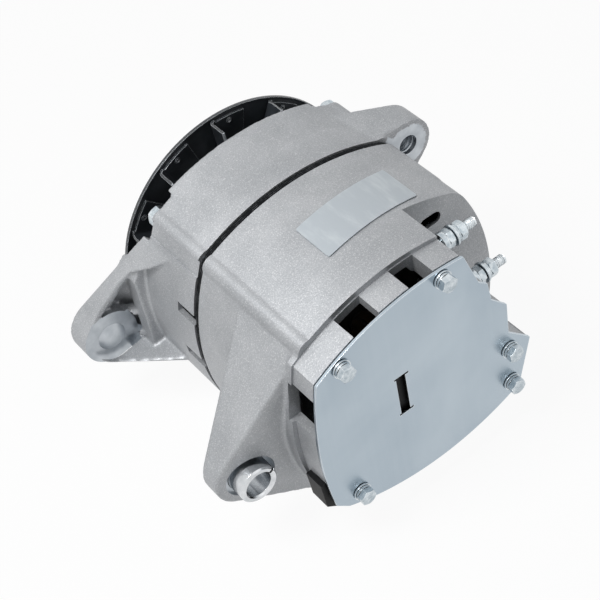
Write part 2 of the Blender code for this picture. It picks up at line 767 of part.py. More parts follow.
def tie_bolts():
    """Four long bolts from the drive-end frame's ridges into the rear frame's."""
    bolts = []
    for x, z in tie_places():
        seat = DRIVE_FRONT + GAP
        bolt = rod(TIE_SHANK, TIE_END, seat + 0.001, x, z, SMALL_STEPS, "through_bolt")
        bolts.append(add(bolt, prism(hexagon(TIE_HEAD_FLATS, x, z), seat, seat + TIE_HEAD_HEIGHT)))
    return bolts


def bearing(prefix, bore, outside, low, width):
    """Outer ring, inner ring and balls in their cage, with clear air between them."""
    section = outside - bore
    race = section * RACE_SHARE
    pitch = (bore + outside) / 2
    ball = section / 2 - race - GAP
    mid = low + width / 2
    inner = tube(bore + GAP, bore + race, low, low + width, name=prefix + "_inner_ring")
    outer = tube(outside - race, outside, low, low + width, name=prefix + "_outer_ring")
    cage = tube(
        pitch - CAGE_WALL / 2, pitch + CAGE_WALL / 2, mid - ball * 0.75, mid + ball * 0.75,
        name=prefix + "_ball_cage",
    )
    balls = []
    for k in range(BALLS):
        x, z = polar(pitch, 360 * k / BALLS)
        bm = bmesh.new()
        bmesh.ops.create_uvsphere(
            bm, u_segments=7, v_segments=4, radius=ball, matrix=Matrix.Translation((x, mid, z)),
        )
        balls.append(solid("ball", bm))
    add(cage, group(balls))
    return inner, outer, cage


def front_bearing_low():
    return DRIVE_FRONT - FRONT_LIP - GAP - FRONT_WIDTH


def rear_bearing_low():
    hub_front = PARTITION_REAR + PARTITION_THICK + 0.0020
    return hub_front - REAR_WIDTH


def snap_ring():
    """The open ring in the hub's groove that keeps the front bearing in."""
    high = front_bearing_low() - GAP
    body = tube(
        FRONT_OUTSIDE - SNAP_REACH, FRONT_OUTSIDE + SNAP_GROOVE - GAP, high - SNAP_THICK, high,
        name="bearing_snap_ring",
    )
    gap = SNAP_OPENING / 2
    return cut(body, box((-gap, high - 0.01, -FRONT_OUTSIDE - 0.01), (gap, high + 0.01, 0)))


def shaft():
    pole_front_seat = POLE_FRONT + 0.002
    pole_rear_seat = POLE_REAR - 0.002
    fan_seat = FAN_REAR + FAN_THICK + GAP
    return turned([
        (0, SHAFT_REAR), (REAR_SHAFT - 0.001, SHAFT_REAR), (REAR_SHAFT, SHAFT_REAR + 0.001), (
            REAR_SHAFT, rear_bearing_low() - 0.003,
        ),
        (REAR_BORE, rear_bearing_low() - 0.003), (REAR_BORE, rear_bearing_low() + REAR_WIDTH + GAP),
        (
            REAR_BORE + 0.0018, rear_bearing_low() + REAR_WIDTH + GAP,
        ), (REAR_BORE + 0.0018, pole_rear_seat),
        (SHAFT_CORE, pole_rear_seat), (SHAFT_CORE, pole_front_seat),
        (FRONT_BORE + 0.0018, pole_front_seat), (FRONT_BORE + 0.0018, front_bearing_low() - GAP),
        (FRONT_BORE, front_bearing_low() - GAP), (FRONT_BORE, fan_seat),
        (THREAD_RADIUS, fan_seat), (
            THREAD_RADIUS, SHAFT_FRONT - 0.0015,
        ), (THREAD_RADIUS - 0.0015, SHAFT_FRONT), (0, SHAFT_FRONT),
    ], "shaft", 18)


def pole_half(name, disc_low, disc_high, tip, turn):
    """One claw-pole half: a disc and six fingers that taper toward the other half."""
    base = disc_low if tip > disc_low else disc_high
    body = turned(
        [
            (SHAFT_CORE + GAP, disc_low), (POLE_RADIUS - POLE_RECESS, disc_low),
            (POLE_RADIUS - POLE_RECESS, disc_high), (SHAFT_CORE + GAP, disc_high),
        ],
        name, 36,
    )
    fingers = []
    for k in range(POLE_FINGERS):
        mid = 360 * k / POLE_FINGERS + turn
        near = [polar(POLE_RADIUS, mid + s * FINGER_ROOT) for s in (-1, 0, 1)]
        near += [polar(POLE_RADIUS - POLE_RECESS - 0.002, mid + s * FINGER_ROOT) for s in (1, -1)]
        away = [polar(POLE_RADIUS, mid + s * FINGER_TIP) for s in (-1, 0, 1)]
        away += [polar(POLE_RADIUS - FINGER_TIP_THICK, mid + s * FINGER_TIP) for s in (1, -1)]
        fingers.append(hull([(x, base, z) for x, z in near] + [(x, tip, z) for x, z in away]))
    return add(body, group(fingers))


def rotor_poles():
    middle = (POLE_FRONT + POLE_REAR) / 2
    rear = pole_half("rotor_pole_rear", POLE_REAR, POLE_REAR + POLE_DISC, POLE_FRONT - 0.0015, 0.0)
    front = pole_half(
        "rotor_pole_front", POLE_FRONT - POLE_DISC, POLE_FRONT, POLE_REAR + 0.0015, 180 / POLE_FINGERS,
    )
    add(rear, tube(SHAFT_CORE + GAP, POLE_HUB, POLE_REAR + POLE_DISC - 0.001, middle - GAP / 2))
    add(front, tube(SHAFT_CORE + GAP, POLE_HUB, middle + GAP / 2, POLE_FRONT - POLE_DISC + 0.001))
    return rear, front


def field_coil():
    """The winding and the bobbin that carries it, between the pole halves."""
    low = POLE_REAR + POLE_DISC + GAP
    high = POLE_FRONT - POLE_DISC - GAP
    inner = POLE_HUB + GAP
    outer = FIELD_RADIUS
    bobbin = turned([
        (inner, low), (outer, low), (outer, low + COIL_BOBBIN), (
            inner + COIL_BOBBIN, low + COIL_BOBBIN,
        ),
        (
            inner + COIL_BOBBIN, high - COIL_BOBBIN,
        ), (outer, high - COIL_BOBBIN), (outer, high), (inner, high),
    ], "field_bobbin")
    coil = tube(
        inner + COIL_BOBBIN + GAP, outer - 0.0006, low + COIL_BOBBIN + GAP, high - COIL_BOBBIN - GAP,
        name="field_coil",
    )
    return bobbin, coil


def slip_ring_lows():
    return [SLIP_REAR, SLIP_REAR + RING_WIDTH + RING_SPACE]


def slip_rings():
    wall = REAR_SHAFT + GAP + SLEEVE_WALL + GAP
    return [
        tube(wall, RING_RADIUS, low, low + RING_WIDTH, steps=20, name="slip_ring")
        for low in slip_ring_lows()
    ]


def slip_ring_sleeve():
    """The insulating sleeve, with a rib between the rings and a collar at each end."""
    inner = REAR_SHAFT + GAP
    outer = inner + SLEEVE_WALL
    rear_low, front_low = slip_ring_lows()
    collar = RING_RADIUS - 0.0012
    rear_high, front_high = rear_low + RING_WIDTH, front_low + RING_WIDTH
    return turned([
        (inner, rear_low - 0.0016), (
            collar, rear_low - 0.0016,
        ), (collar, rear_low - GAP), (outer, rear_low - GAP),
        (outer, rear_high + GAP), (
            collar, rear_high + GAP,
        ), (collar, front_low - GAP), (outer, front_low - GAP),
        (outer, front_high + GAP), (collar, front_high + GAP), (
            collar, front_high + 0.0016,
        ), (inner, front_high + 0.0016),
    ], "slip_ring_sleeve")


def fan_spacer():
    low = front_bearing_low() + FRONT_WIDTH + GAP
    return tube(FRONT_BORE + GAP, SPACER_RADIUS, low, FAN_REAR - GAP, name="fan_spacer")


def fan():
    """The sheet-steel fan: a disc with bent strips, each a blade and the foot it is welded by."""
    body = tube(
        FRONT_BORE + GAP, FAN_RADIUS, FAN_REAR, FAN_REAR + FAN_THICK, steps=3 * FAN_BLADES, name="fan",
    )
    weld = FAN_REAR + FAN_THICK / 4
    for k in range(FAN_BLADES):
        tip = BLADE_FIRST + 360 * k / FAN_BLADES
        outer = Vector(polar(BLADE_OUTER, tip))
        inner = Vector(polar(BLADE_INNER, tip - BLADE_SWEEP))
        run = (outer - inner).normalized()
        side = Vector((-run.y, run.x)) * BLADE_THICK
        wall = [tuple(p) for p in (outer, inner, inner + side, outer + side)]
        bend = outer - run * FOOT_EDGE + side / 2
        foot = [tuple(bend), tuple(bend - run * FOOT_LENGTH), polar(FOOT_INNER, tip - FOOT_SPAN)]
        for share in (1, 0.75, 0.5, 0.25):
            foot.append(polar(BLADE_OUTER - FOOT_EDGE, tip - FOOT_SPAN * share))
        blade = prism(wall, FAN_REAR - BLADE_DEPTH, FAN_REAR - BLADE_THICK / 2)
        add(body, add(prism(foot, FAN_REAR - BLADE_THICK, weld), blade))
    return body


def shaft_nut():
    low = FAN_REAR + FAN_THICK + GAP + WASHER_THICK + GAP
    body = prism(hexagon(NUT_FLATS), low, low + NUT_HEIGHT, "shaft_nut")
    return cut(body, rod(THREAD_RADIUS + GAP, low - 0.001, low + NUT_HEIGHT + 0.001))


def shaft_washer():
    low = FAN_REAR + FAN_THICK + GAP
    return tube(FRONT_BORE + GAP, WASHER_RADIUS, low, low + WASHER_THICK, name="shaft_washer")


def split_bush():
    """The split steel bush, built about its own axis so that it can slide in the lug."""
    rear = REAR_LUG_FRONT - REAR_LUG_THICK - BUSH_PROUD
    chamfer = 0.0007
    body = turned([
        (BUSH_BORE, rear + chamfer), (BUSH_BORE + chamfer, rear), (
            BUSH_OUTER - chamfer, rear,
        ), (BUSH_OUTER, rear + chamfer),
        (BUSH_OUTER, REAR_LUG_FRONT - 0.001), (BUSH_BORE, REAR_LUG_FRONT - 0.001),
    ], "split_bush")
    slit = box((0, rear - 0.001, -BUSH_SLIT / 2), (BUSH_OUTER + 0.002, REAR_LUG_FRONT, BUSH_SLIT / 2))
    slit.data.transform(Matrix.Rotation(-math.radians(28), 4, "Y"))
    cut(body, slit)
    body.location = (HINGE_X, 0, HINGE_Z)
    return body


def rear_plate():
    """The sheet-steel cover, with its louvre slot."""
    high = POD_REAR - GAP
    low = high - PLATE_THICK
    body = prism(plate_outline(), low, high, "rear_cover_plate")
    cut(body, *rods(SCREW_SHANK + GAP, low - 0.001, high + 0.001, screw_places()))
    x, z, width, length = -0.0172, 0.0073, 0.0042, 0.0245
    slot = box(
        (x - width / 2, low - 0.001, z - length / 2), (x + width / 2, high + 0.001, z + length / 2),
    )
    for end in (-1, 1):
        at = z + end * (length / 2 - 0.0008)
        add(slot, box((x - 0.0046, low - 0.001, at - 0.0008), (x + 0.0046, high + 0.001, at + 0.0008)))
    return cut(body, slot)


def cover_screws():
    """Five hexagon screws, each with its captive washer."""
    seat = POD_REAR - GAP - PLATE_THICK - GAP
    screws = []
    for x, z in screw_places():
        screw = rod(
            SCREW_SHANK, seat - SCREW_WASHER, POD_REAR + SCREW_DEPTH - 0.001, x, z, SMALL_STEPS,
            "cover_screw",
        )
        add(screw, rod(SCREW_WASHER_RADIUS, seat - SCREW_WASHER, seat, x, z, 16))
        screws.append(
            add(
                screw,
                prism(
                    hexagon(SCREW_FLATS, x, z), seat - SCREW_WASHER - SCREW_HEAD,
                    seat - SCREW_WASHER / 2,
                ),
            )
        )
    return screws


def inner_cover():
    """The black moulded cover under the plate, whose skirt shows in the lower left window."""
    rear = POD_REAR + GAP
    front = SHOULDER - COVER_SETBACK
    half = HALF_FLAT
    body = prism(offset(plate_outline(), POD_WALL + 2 * GAP), rear, rear + COVER_WALL, "inner_cover")
    skirt = prism(
        [
            (-half + 0.0185, -0.0175), (-half + 0.0003, -0.0175), (-half + 0.0012, -half + 0.0330),
            (-half + 0.0080, -half + 0.0275), (-half + 0.0185, -half + 0.0235),
        ],
        rear + COVER_WALL / 4, front,
    )
    add(body, skirt)
    return cut(body, *rods(SCREW_BOSS + 2 * GAP, rear - 0.001, front + 0.001, screw_places()))


def heat_sink(name, outer, span, diodes):
    body = prism(sector(SINK_INNER, outer, *span, 8), SINK_REAR, SINK_REAR + SINK_THICK, name)
    return cut(body, *diode_holes(diodes))


def diode_holes(diodes, clearance=GAP):
    low, high = SINK_REAR - 0.001, SINK_REAR + SINK_THICK + INSULATOR_THICK + 0.002
    return [rod(DIODE_RADIUS + clearance, low, high, *polar(DIODE_CIRCLE, a), 18) for a in diodes]


def positive_heat_sink():
    """The insulated heat sink, with the tab that the output stud is fixed to."""
    body = heat_sink("positive_heat_sink", POSITIVE_OUTER, POSITIVE_SPAN, POSITIVE_DIODES)
    high = pod_wall_x(OUTPUT_Z) - POD_WALL - INSULATOR_FLANGE - GAP
    tab = box(
        (high - TAB_THICK, STUD_Y - 0.0050, OUTPUT_Z - 0.0130),
        (high, SINK_REAR + SINK_THICK / 2, OUTPUT_Z + 0.0045),
    )
    foot = box(
        (high - 0.0080, SINK_REAR, OUTPUT_Z - 0.0130),
        (high, SINK_REAR + SINK_THICK, OUTPUT_Z - 0.0020),
    )
    add(body, foot, tab)
    hole = rod(STUD_RADIUS + GAP, -0.006, 0.006, steps=SMALL_STEPS)
    return cut(body, along_x(hole, high - TAB_THICK / 2, STUD_Y, OUTPUT_Z))


def sink_insulator():
    """The thin moulded plate that keeps the positive heat sink off the frame's posts."""
    low = SINK_REAR + SINK_THICK + GAP
    start, end = POSITIVE_SPAN
    body = prism(
        sector(SINK_INNER + 0.001, POSITIVE_OUTER - 0.001, start + 1, end - 1, 8), low,
        low + INSULATOR_THICK, "rectifier_insulator",
    )
    return cut(body, *diode_holes(POSITIVE_DIODES, 0.0010))


def rectifier_diodes():
    low = SINK_REAR - 0.0010
    diodes = []
    for a in POSITIVE_DIODES + NEGATIVE_DIODES:
        x, z = polar(DIODE_CIRCLE, a)
        lead = rod(DIODE_LEAD, low - 0.0070, low + 0.001, x, z, 8)
        diodes.append(
            add(rod(DIODE_RADIUS, low, low + DIODE_HEIGHT, x, z, 18, "rectifier_diode"), lead)
        )
    return diodes


def sink_posts():
    """The posts cast on the partition, which carry the heat sinks."""
    posts = []
    for a in SINK_POSTS:
        insulated = POSITIVE_SPAN[0] < a < POSITIVE_SPAN[1]
        low = SINK_REAR + SINK_THICK + GAP + (INSULATOR_THICK + GAP if insulated else 0)
        posts.append(rod(POST_RADIUS, low, PARTITION_REAR + 0.001, *polar(DIODE_CIRCLE, a), 10))
    return posts


def voltage_regulator():
    """A sealed block between the ends of the two heat sinks."""
    inner_x = -(REAR_OUTSIDE + REAR_HUB_WALL + 0.0010)
    low = (inner_x - REGULATOR_WIDTH, SINK_REAR - 0.0012, -REGULATOR_HEIGHT / 2)
    return box(low, (inner_x, PARTITION_REAR - GAP, REGULATOR_HEIGHT / 2), "voltage_regulator")


def brush_middles():
    return [low + RING_WIDTH / 2 for low in slip_ring_lows()]


def brushes():
    """A carbon block under each slip ring."""
    high = -RING_RADIUS - GAP
    side, half = BRUSH_WIDTH / 2, BRUSH_THICK / 2
    return [
        box((-side, y - half, high - BRUSH_LENGTH), (side, y + half, high), "brush")
        for y in brush_middles()
    ]


def brush_holder():
    """The moulded box with a channel for each brush, and the foot that seats on the partition."""
    low, high = min(brush_middles()) - BRUSH_THICK - HOLDER_WALL, SINK_REAR - 0.0015
    side = BRUSH_WIDTH / 2 + HOLDER_WALL
    top = -RING_RADIUS - HOLDER_CLEAR
    hub = REAR_OUTSIDE + REAR_HUB_WALL
    body = box((-side, low, HOLDER_BOTTOM), (side, high, top), "brush_holder")
    add(
        body,
        box(
            (-side + 0.0005, high - 0.002, -SINK_INNER + 0.0012),
            (side - 0.0005, PARTITION_REAR - GAP, -hub - 0.0005),
        ),
    )
    reach_x, reach_y = BRUSH_WIDTH / 2 + GAP, BRUSH_THICK / 2 + GAP
    for y in brush_middles():
        cut(
            body,
            box(
                (-reach_x, y - reach_y, HOLDER_BOTTOM + HOLDER_FLOOR),
                (reach_x, y + reach_y, top + 0.001),
            ),
        )
    return body


def brush_springs():
    """The coil spring that pushes each brush up."""
    low = HOLDER_BOTTOM + HOLDER_FLOOR + GAP + SPRING_WIRE
    high = -RING_RADIUS - GAP - BRUSH_LENGTH - GAP - SPRING_WIRE
    return [helix(low, high, SPRING_RADIUS, SPRING_WIRE, SPRING_TURNS, y) for y in brush_middles()]


def helix(low, high, radius, wire, turns, y):
    """A closed wire of square section wound about a line along Z."""
    bm = bmesh.new()
    count = 8 * turns
    rings = []
    for i in range(count + 1):
        a = 2 * math.pi * turns * i / count
        centre = Vector(
            (radius * math.cos(a), y + radius * math.sin(a), low + (high - low) * i / count)
        )
        out = Vector((math.cos(a), math.sin(a), 0))
        up = Vector((0, 0, 1))
        corners = ((1, 1), (-1, 1), (-1, -1), (1, -1))
        rings.append([bm.verts.new(centre + (out * s + up * t) * wire) for s, t in corners])
    for here, there in zip(rings, rings[1:]):
        for k in range(4):
            bm.faces.new((here[k], here[(k + 1) % 4], there[(k + 1) % 4], there[k]))
    bm.faces.new(rings[0][::-1])
    bm.faces.new(rings[-1])
    return solid("brush_spring", bm)


def terminal_stud(name, z, insulated):
    """A headed stud through the pod's right wall, pointing along +X."""
    wall = pod_wall_x(z)
    inside = POD_WALL + (INSULATOR_FLANGE + TAB_THICK + 2 * GAP if insulated else GAP)
    stud = rod(STUD_RADIUS, -inside - 0.001, STUD_REACH, steps=SMALL_STEPS)
    add(stud, prism(hexagon(STUD_FLATS), -inside - STUD_HEAD, -inside))
    stud.name = name
    return along_x(stud, wall, STUD_Y, z)


def stud_insulator():
    """The moulded sleeve and inside flange that keep the output stud off the wall."""
    wall = pod_wall_x(OUTPUT_Z)
    body = tube(
        STUD_RADIUS + GAP, INSULATOR_RADIUS, -POD_WALL - 0.002, 0.0008, steps=SMALL_STEPS,
        name="stud_insulator",
    )
    flange_low, flange_high = -POD_WALL - INSULATOR_FLANGE, -POD_WALL - GAP
    flange = rod(INSULATOR_RADIUS + 0.0018, flange_low, flange_high, steps=16)
    add(
        body,
        cut(
            flange,
            rod(STUD_RADIUS + 2 * GAP, flange_low - 0.001, flange_high + 0.001, steps=SMALL_STEPS),
        ),
    )
    return along_x(body, wall, STUD_Y, OUTPUT_Z)


def stud_seat(z):
    return 0.0012 if z == OUTPUT_Z else GAP


def terminal_nuts():
    """Two nuts on each stud, with a washer between them."""
    nuts = []
    for z in (OUTPUT_Z, GROUND_Z):
        wall = pod_wall_x(z)
        for low in (stud_seat(z), stud_seat(z) + STUD_NUT + STUD_WASHER + 2 * GAP):
            nut = prism(hexagon(STUD_FLATS), low, low + STUD_NUT, "terminal_nut")
            cut(nut, rod(STUD_RADIUS + GAP, low - 0.001, low + STUD_NUT + 0.001, steps=SMALL_STEPS))
            nuts.append(along_x(nut, wall, STUD_Y, z))
    return nuts


def terminal_washers():
    washers = []
    for z in (OUTPUT_Z, GROUND_Z):
        wall = pod_wall_x(z)
        low = stud_seat(z) + STUD_NUT + GAP
        washer = tube(
            STUD_RADIUS + GAP, STUD_WASHER_RADIUS, low, low + STUD_WASHER, steps=16,
            name="terminal_washer",
        )
        washers.append(along_x(washer, wall, STUD_Y, z))
    return washers


def name_plate():
    """The blank label, bent to the bowed top side."""
    offset_z = HALF_FLAT - SIDE_BOW
    bm = bmesh.new()
    rows = []
    steps = 12
    for radius in (SIDE_BOW + GAP, SIDE_BOW + GAP + LABEL_THICK):
        for end in (-1, 1):
            row = []
            for i in range(steps + 1):
                x = LABEL_X - LABEL_WIDTH / 2 + LABEL_WIDTH * i / steps
                y = LABEL_Y + end * LABEL_LENGTH / 2 + (x - LABEL_X) * LABEL_SKEW
                row.append(bm.verts.new((x, y, offset_z + math.sqrt(radius**2 - x**2))))
            rows.append(row)
    low_a, low_b, high_a, high_b = rows
    for i in range(steps):
        for first, second in ((low_a, low_b), (high_b, high_a), (low_b, high_b), (high_a, low_a)):
            bm.faces.new((first[i], first[i + 1], second[i + 1], second[i]))
    for i in (0, steps):
        bm.faces.new((low_a[i], low_b[i], high_b[i], high_a[i]))
    return solid("name_plate", bm)


def finish(item, look, name):
    """Gives a piece its material and smooth shading with sharp edges."""
    colour, roughness, metallic = look
    material = bpy.data.materials.new(name)
    material.use_nodes = True
    surface = material.node_tree.nodes["Principled BSDF"]
    surface.inputs["Base Color"].default_value = (*colour, 1)
    surface.inputs["Roughness"].default_value = roughness
    surface.inputs["Metallic"].default_value = metallic
    material.diffuse_color = (*colour, 1)
    item.data.materials.clear()
    item.data.materials.append(material)
    item.data.shade_smooth()
    item.data.set_sharp_from_angle(angle=math.radians(30))
    item.name = name
    item.data.name = name


def numbered(items, look):
    """The copies of a repeated piece, each with its own name."""
    base = items[0].name.split(".")[0]
    return [(item, look, f"{base}_{i + 1}") for i, item in enumerate(items)]


def single(item, look):
    return [(item, look, item.name.split(".")[0])]


def floor_shift():
    """From the shaft's axis at the joint face to the part's origin: below its middle, on the ground."""
    left, right = HINGE_X - REAR_LUG_RADIUS, EAR_X + EAR_RADIUS
    rear = POD_REAR - PLATE_THICK - 2 * GAP - SCREW_WASHER - SCREW_HEAD
    bottom = min(z for x, z in casing_outline())
    return Vector((-(left + right) / 2, -(rear + SHAFT_FRONT) / 2, -bottom))


def main():
    clear_scene()
    front_inner, front_outer, front_cage = bearing(
        "front_bearing", FRONT_BORE, FRONT_OUTSIDE, front_bearing_low(), FRONT_WIDTH,
    )
    rear_inner, rear_outer, rear_cage = bearing(
        "rear_bearing", REAR_BORE, REAR_OUTSIDE, rear_bearing_low(), REAR_WIDTH,
    )
    pole_rear, pole_front = rotor_poles()
    bobbin, coil = field_coil()
    pieces = []
    for item, look in [
        (drive_end_frame(), ALUMINIUM), (rear_frame(), ALUMINIUM), (stator_core(), LAMINATION),
        (stator_winding(), COPPER), (front_outer, BRIGHT_STEEL), (rear_outer, BRIGHT_STEEL),
        (snap_ring(), BRIGHT_STEEL), (rear_plate(), ZINC), (inner_cover(), PLASTIC),
        (positive_heat_sink(), ALUMINIUM), (sink_insulator(), PLASTIC),
        (heat_sink("negative_heat_sink", NEGATIVE_OUTER, NEGATIVE_SPAN, NEGATIVE_DIODES), ALUMINIUM),
        (voltage_regulator(), PLASTIC), (brush_holder(), PLASTIC),
        (terminal_stud("output_stud", OUTPUT_Z, True), ZINC),
        (terminal_stud("ground_stud", GROUND_Z, False), ZINC),
        (stud_insulator(), PLASTIC), (name_plate(), FOIL), (split_bush(), ZINC),
        (shaft(), BRIGHT_STEEL), (pole_rear, IRON), (pole_front, IRON), (bobbin, PLASTIC), (coil, COPPER),
        (slip_ring_sleeve(), PLASTIC), (front_inner, BRIGHT_STEEL), (rear_inner, BRIGHT_STEEL),
        (front_cage, BRIGHT_STEEL), (rear_cage, BRIGHT_STEEL), (fan_spacer(), BRIGHT_STEEL),
        (fan(), BLACK_PAINT), (shaft_washer(), ZINC), (shaft_nut(), ZINC),
    ]:
        pieces += single(item, look)
    for items, look in [
        (tie_bolts(), ZINC), (cover_screws(), ZINC), (rectifier_diodes(), BRIGHT_STEEL), (brushes(), CARBON),
        (brush_springs(), BRIGHT_STEEL), (terminal_nuts(), ZINC), (terminal_washers(), ZINC),
        (slip_rings(), BRASS),
    ]:
        pieces += numbered(items, look)
    shift = floor_shift()
    for item, look, name in pieces:
        finish(item, look, name)
        item.location += shift


main()
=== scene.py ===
"""Looks of an engine-driven charging alternator, seen from behind and above its left side.

Every piece is drawn about the shaft's axis, with the fan toward +Y and the origin in the plane where
the two end frames meet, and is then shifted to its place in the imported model.
"""

import math

import bmesh
import bpy
from mathutils import Matrix, Vector


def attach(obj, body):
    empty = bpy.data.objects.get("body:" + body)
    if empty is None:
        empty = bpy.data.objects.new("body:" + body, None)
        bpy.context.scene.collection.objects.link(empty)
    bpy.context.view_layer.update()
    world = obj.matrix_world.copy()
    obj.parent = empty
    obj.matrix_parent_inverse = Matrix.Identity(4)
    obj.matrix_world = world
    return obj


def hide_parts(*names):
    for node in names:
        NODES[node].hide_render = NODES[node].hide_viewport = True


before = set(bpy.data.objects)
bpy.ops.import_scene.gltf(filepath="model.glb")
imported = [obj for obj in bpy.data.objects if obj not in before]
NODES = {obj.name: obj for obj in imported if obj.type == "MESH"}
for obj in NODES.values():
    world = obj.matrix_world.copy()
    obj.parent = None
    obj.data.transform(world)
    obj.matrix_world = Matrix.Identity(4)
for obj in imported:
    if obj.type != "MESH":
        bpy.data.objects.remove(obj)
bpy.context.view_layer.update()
AXIS = Vector((0.0118, -0.00315, 0.065775))

# Casing
HALF_FLAT = 0.066
SIDE_BOW = 0.11
CORNER_RADIUS = 0.016
BAND = 0.0038
DRIVE_FRONT = 0.0457
DRIVE_WALL = 0.0075
BOLT_SEAT = 0.0415
SHOULDER = -0.07
POD_REAR = -0.0837
POD_WALL = 0.0048
PARTITION_REAR = -0.047
PARTITION_THICK = 0.006
CASING_WALL = 0.0058
SKIRT_WALL = 0.0024
TIE_RADIUS = HALF_FLAT + 0.0036
RIDGE_RADIUS = 0.0056
CORE_REAR, CORE_FRONT = -0.0152, 0.019
CORE_BORE = 0.0462
TRIM = 0.0015                # cast past a joint face, then cut off, so that its edge is crisp
REACH = 0.11                # of a cutter that is wider than the casing
NUDGE = 0.001                # past a face, so that cuts go through it and unions meet
CORNERS = ((-1, -1), (1, -1), (1, 1), (-1, 1))

# Hinge and adjusting ear
HINGE = (-0.0856, -0.0141)
FRONT_LUG = (0.0555, 0.07)
FRONT_LUG_RADIUS = 0.0147
FRONT_LUG_BORE = 0.0073
REAR_LUG = (-0.056, -0.0455)
REAR_LUG_RADIUS = 0.0163
BUSH_OUTER, BUSH_BORE = 0.00955, 0.0064
BUSH_REAR = -0.066
EAR = (0.0651, 0.0407)
EAR_REAR, EAR_LENGTH = 0.0044, 0.0156
EAR_RADIUS, EAR_THREAD = 0.0132, 0.0051

# Fan and shaft end
FAN_REAR, FAN_THICK, FAN_RADIUS = 0.0632, 0.002, 0.0656
BLADES, BLADE_FIRST = 12, 63.0
BLADE_DEPTH, BLADE_OUTER, BLADE_INNER = 0.012, 0.0646, 0.036
SHAFT_FRONT = 0.098

# Terminals and plate
PLATE_THICK = 0.002
PLATE_HIGH = POD_REAR - 0.0003
STUD_Y, OUTPUT_Z, GROUND_Z = -0.063, 0.05, 0.016
NUT_SPIN = 1.05              # of a head or nut at most, as it happened to be tightened

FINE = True


# Sums on sockets


def sum_of(operation, reflected=False):
    """An operator that adds a Math node to its net."""

    def method(self, other):
        values = (other, self) if reflected else (self, other)
        return self.net.node("ShaderNodeMath", {"operation": operation}, dict(enumerate(values)))

    return method


class Wire:
    """A socket that takes part in sums."""

    def __init__(self, net, socket):
        self.net, self.socket = net, socket

    def __getitem__(self, name):
        return Wire(self.net, self.socket.node.outputs[name])

    __add__, __radd__ = sum_of("ADD"), sum_of("ADD", True)
    __sub__, __rsub__ = sum_of("SUBTRACT"), sum_of("SUBTRACT", True)
    __mul__, __rmul__ = sum_of("MULTIPLY"), sum_of("MULTIPLY", True)
    __truediv__ = sum_of("DIVIDE")

    def step(self, low, high):
        """0 below low, 1 above high, and a smooth rise between."""
        settings = {"interpolation_type": "SMOOTHSTEP"}
        values = {"Value": self, "From Min": low, "From Max": high}
        return self.net.node("ShaderNodeMapRange", settings, values)


class Net:
    """A node tree that is filled from Python."""

    def __init__(self, tree):
        self.tree = tree

    def node(self, kind, settings=None, values=None, out=0):
        made = self.tree.nodes.new(kind)
        for key, value in (settings or {}).items():
            setattr(made, key, value)
        for key, value in (values or {}).items():
            if isinstance(value, Wire):
                self.tree.links.new(value.socket, made.inputs[key])
            else:
                made.inputs[key].default_value = value
        return Wire(self, made.outputs[out]) if made.outputs else made

    def colours(self, share, low, high):
        """A mix of two colours, plain ones or linked ones."""
        values = {0: share, 6: low, 7: high}
        for key in (6, 7):
            if isinstance(values[key], tuple):
                values[key] = (*values[key], 1)
        return self.node("ShaderNodeMix", {"data_type": "RGBA"}, values, 2)


# Finishes


class Finish(Net):
    """A material with its Principled shader, and the patterns that its finish is made of."""

    def __init__(self, name, metallic, **fixed):
        self.material = bpy.data.materials.new(name)
        self.material.use_nodes = True
        super().__init__(self.material.node_tree)
        self.shader = self.tree.nodes["Principled BSDF"]
        self.shader.inputs["Metallic"].default_value = metallic
        for key, value in fixed.items():
            self.shader.inputs[key.replace("_", " ")].default_value = value
        self.place = self.node("ShaderNodeTexCoord", out="Object")
        self.height = None

    def noise(self, scale, detail=2.0, rough=0.5, stretch=None, warp=0.0):
        place = self.place
        if stretch:
            place = self.node("ShaderNodeVectorMath", {"operation": "MULTIPLY"}, {0: place, 1: stretch})
        values = {"Vector": place, "Scale": scale, "Detail": detail, "Roughness": rough}
        return self.node("ShaderNodeTexNoise", None, {**values, "Distortion": warp})

    def cells(self, scale):
        return self.node("ShaderNodeTexVoronoi", None, {"Vector": self.place, "Scale": scale})

    def waves(self, direction, scale, distortion):
        values = {"Vector": self.place, "Scale": scale, "Distortion": distortion}
        return self.node("ShaderNodeTexWave", {"bands_direction": direction}, values)

    def along(self, axis):
        return self.node("ShaderNodeSeparateXYZ", None, {0: self.place}, axis)

    def edge(self, radius):
        """1 along edges, from the angle between the surface and its rounded copy."""
        rounded = self.node("ShaderNodeBevel", {"samples": 4}, {"Radius": radius})
        normals = {0: rounded, 1: self.node("ShaderNodeNewGeometry", None, None, "Normal")}
        dot = self.node("ShaderNodeVectorMath", {"operation": "DOT_PRODUCT"}, normals, "Value")
        return (1.0 - dot).step(0.01, 0.12)

    def colour(self, value):
        self._feed("Base Color", (*value, 1) if isinstance(value, tuple) else value)
        return self

    def rough(self, value):
        self._feed("Roughness", value)
        return self

    def coat(self, weight):
        self._feed("Coat Weight", weight)
        return self

    def metal(self, value):
        self._feed("Metallic", value)
        return self

    def bump(self, height, distance, strength=1.0):
        values = {"Height": height, "Distance": distance, "Strength": strength}
        if self.height:
            values["Normal"] = self.height
        self.height = self.node("ShaderNodeBump", None, values)
        return self

    def done(self):
        if self.height:
            self._feed("Normal", self.height)
        return self.material

    def _feed(self, name, value):
        if isinstance(value, Wire):
            self.tree.links.new(value.socket, self.shader.inputs[name])
        else:
            self.shader.inputs[name].default_value = value


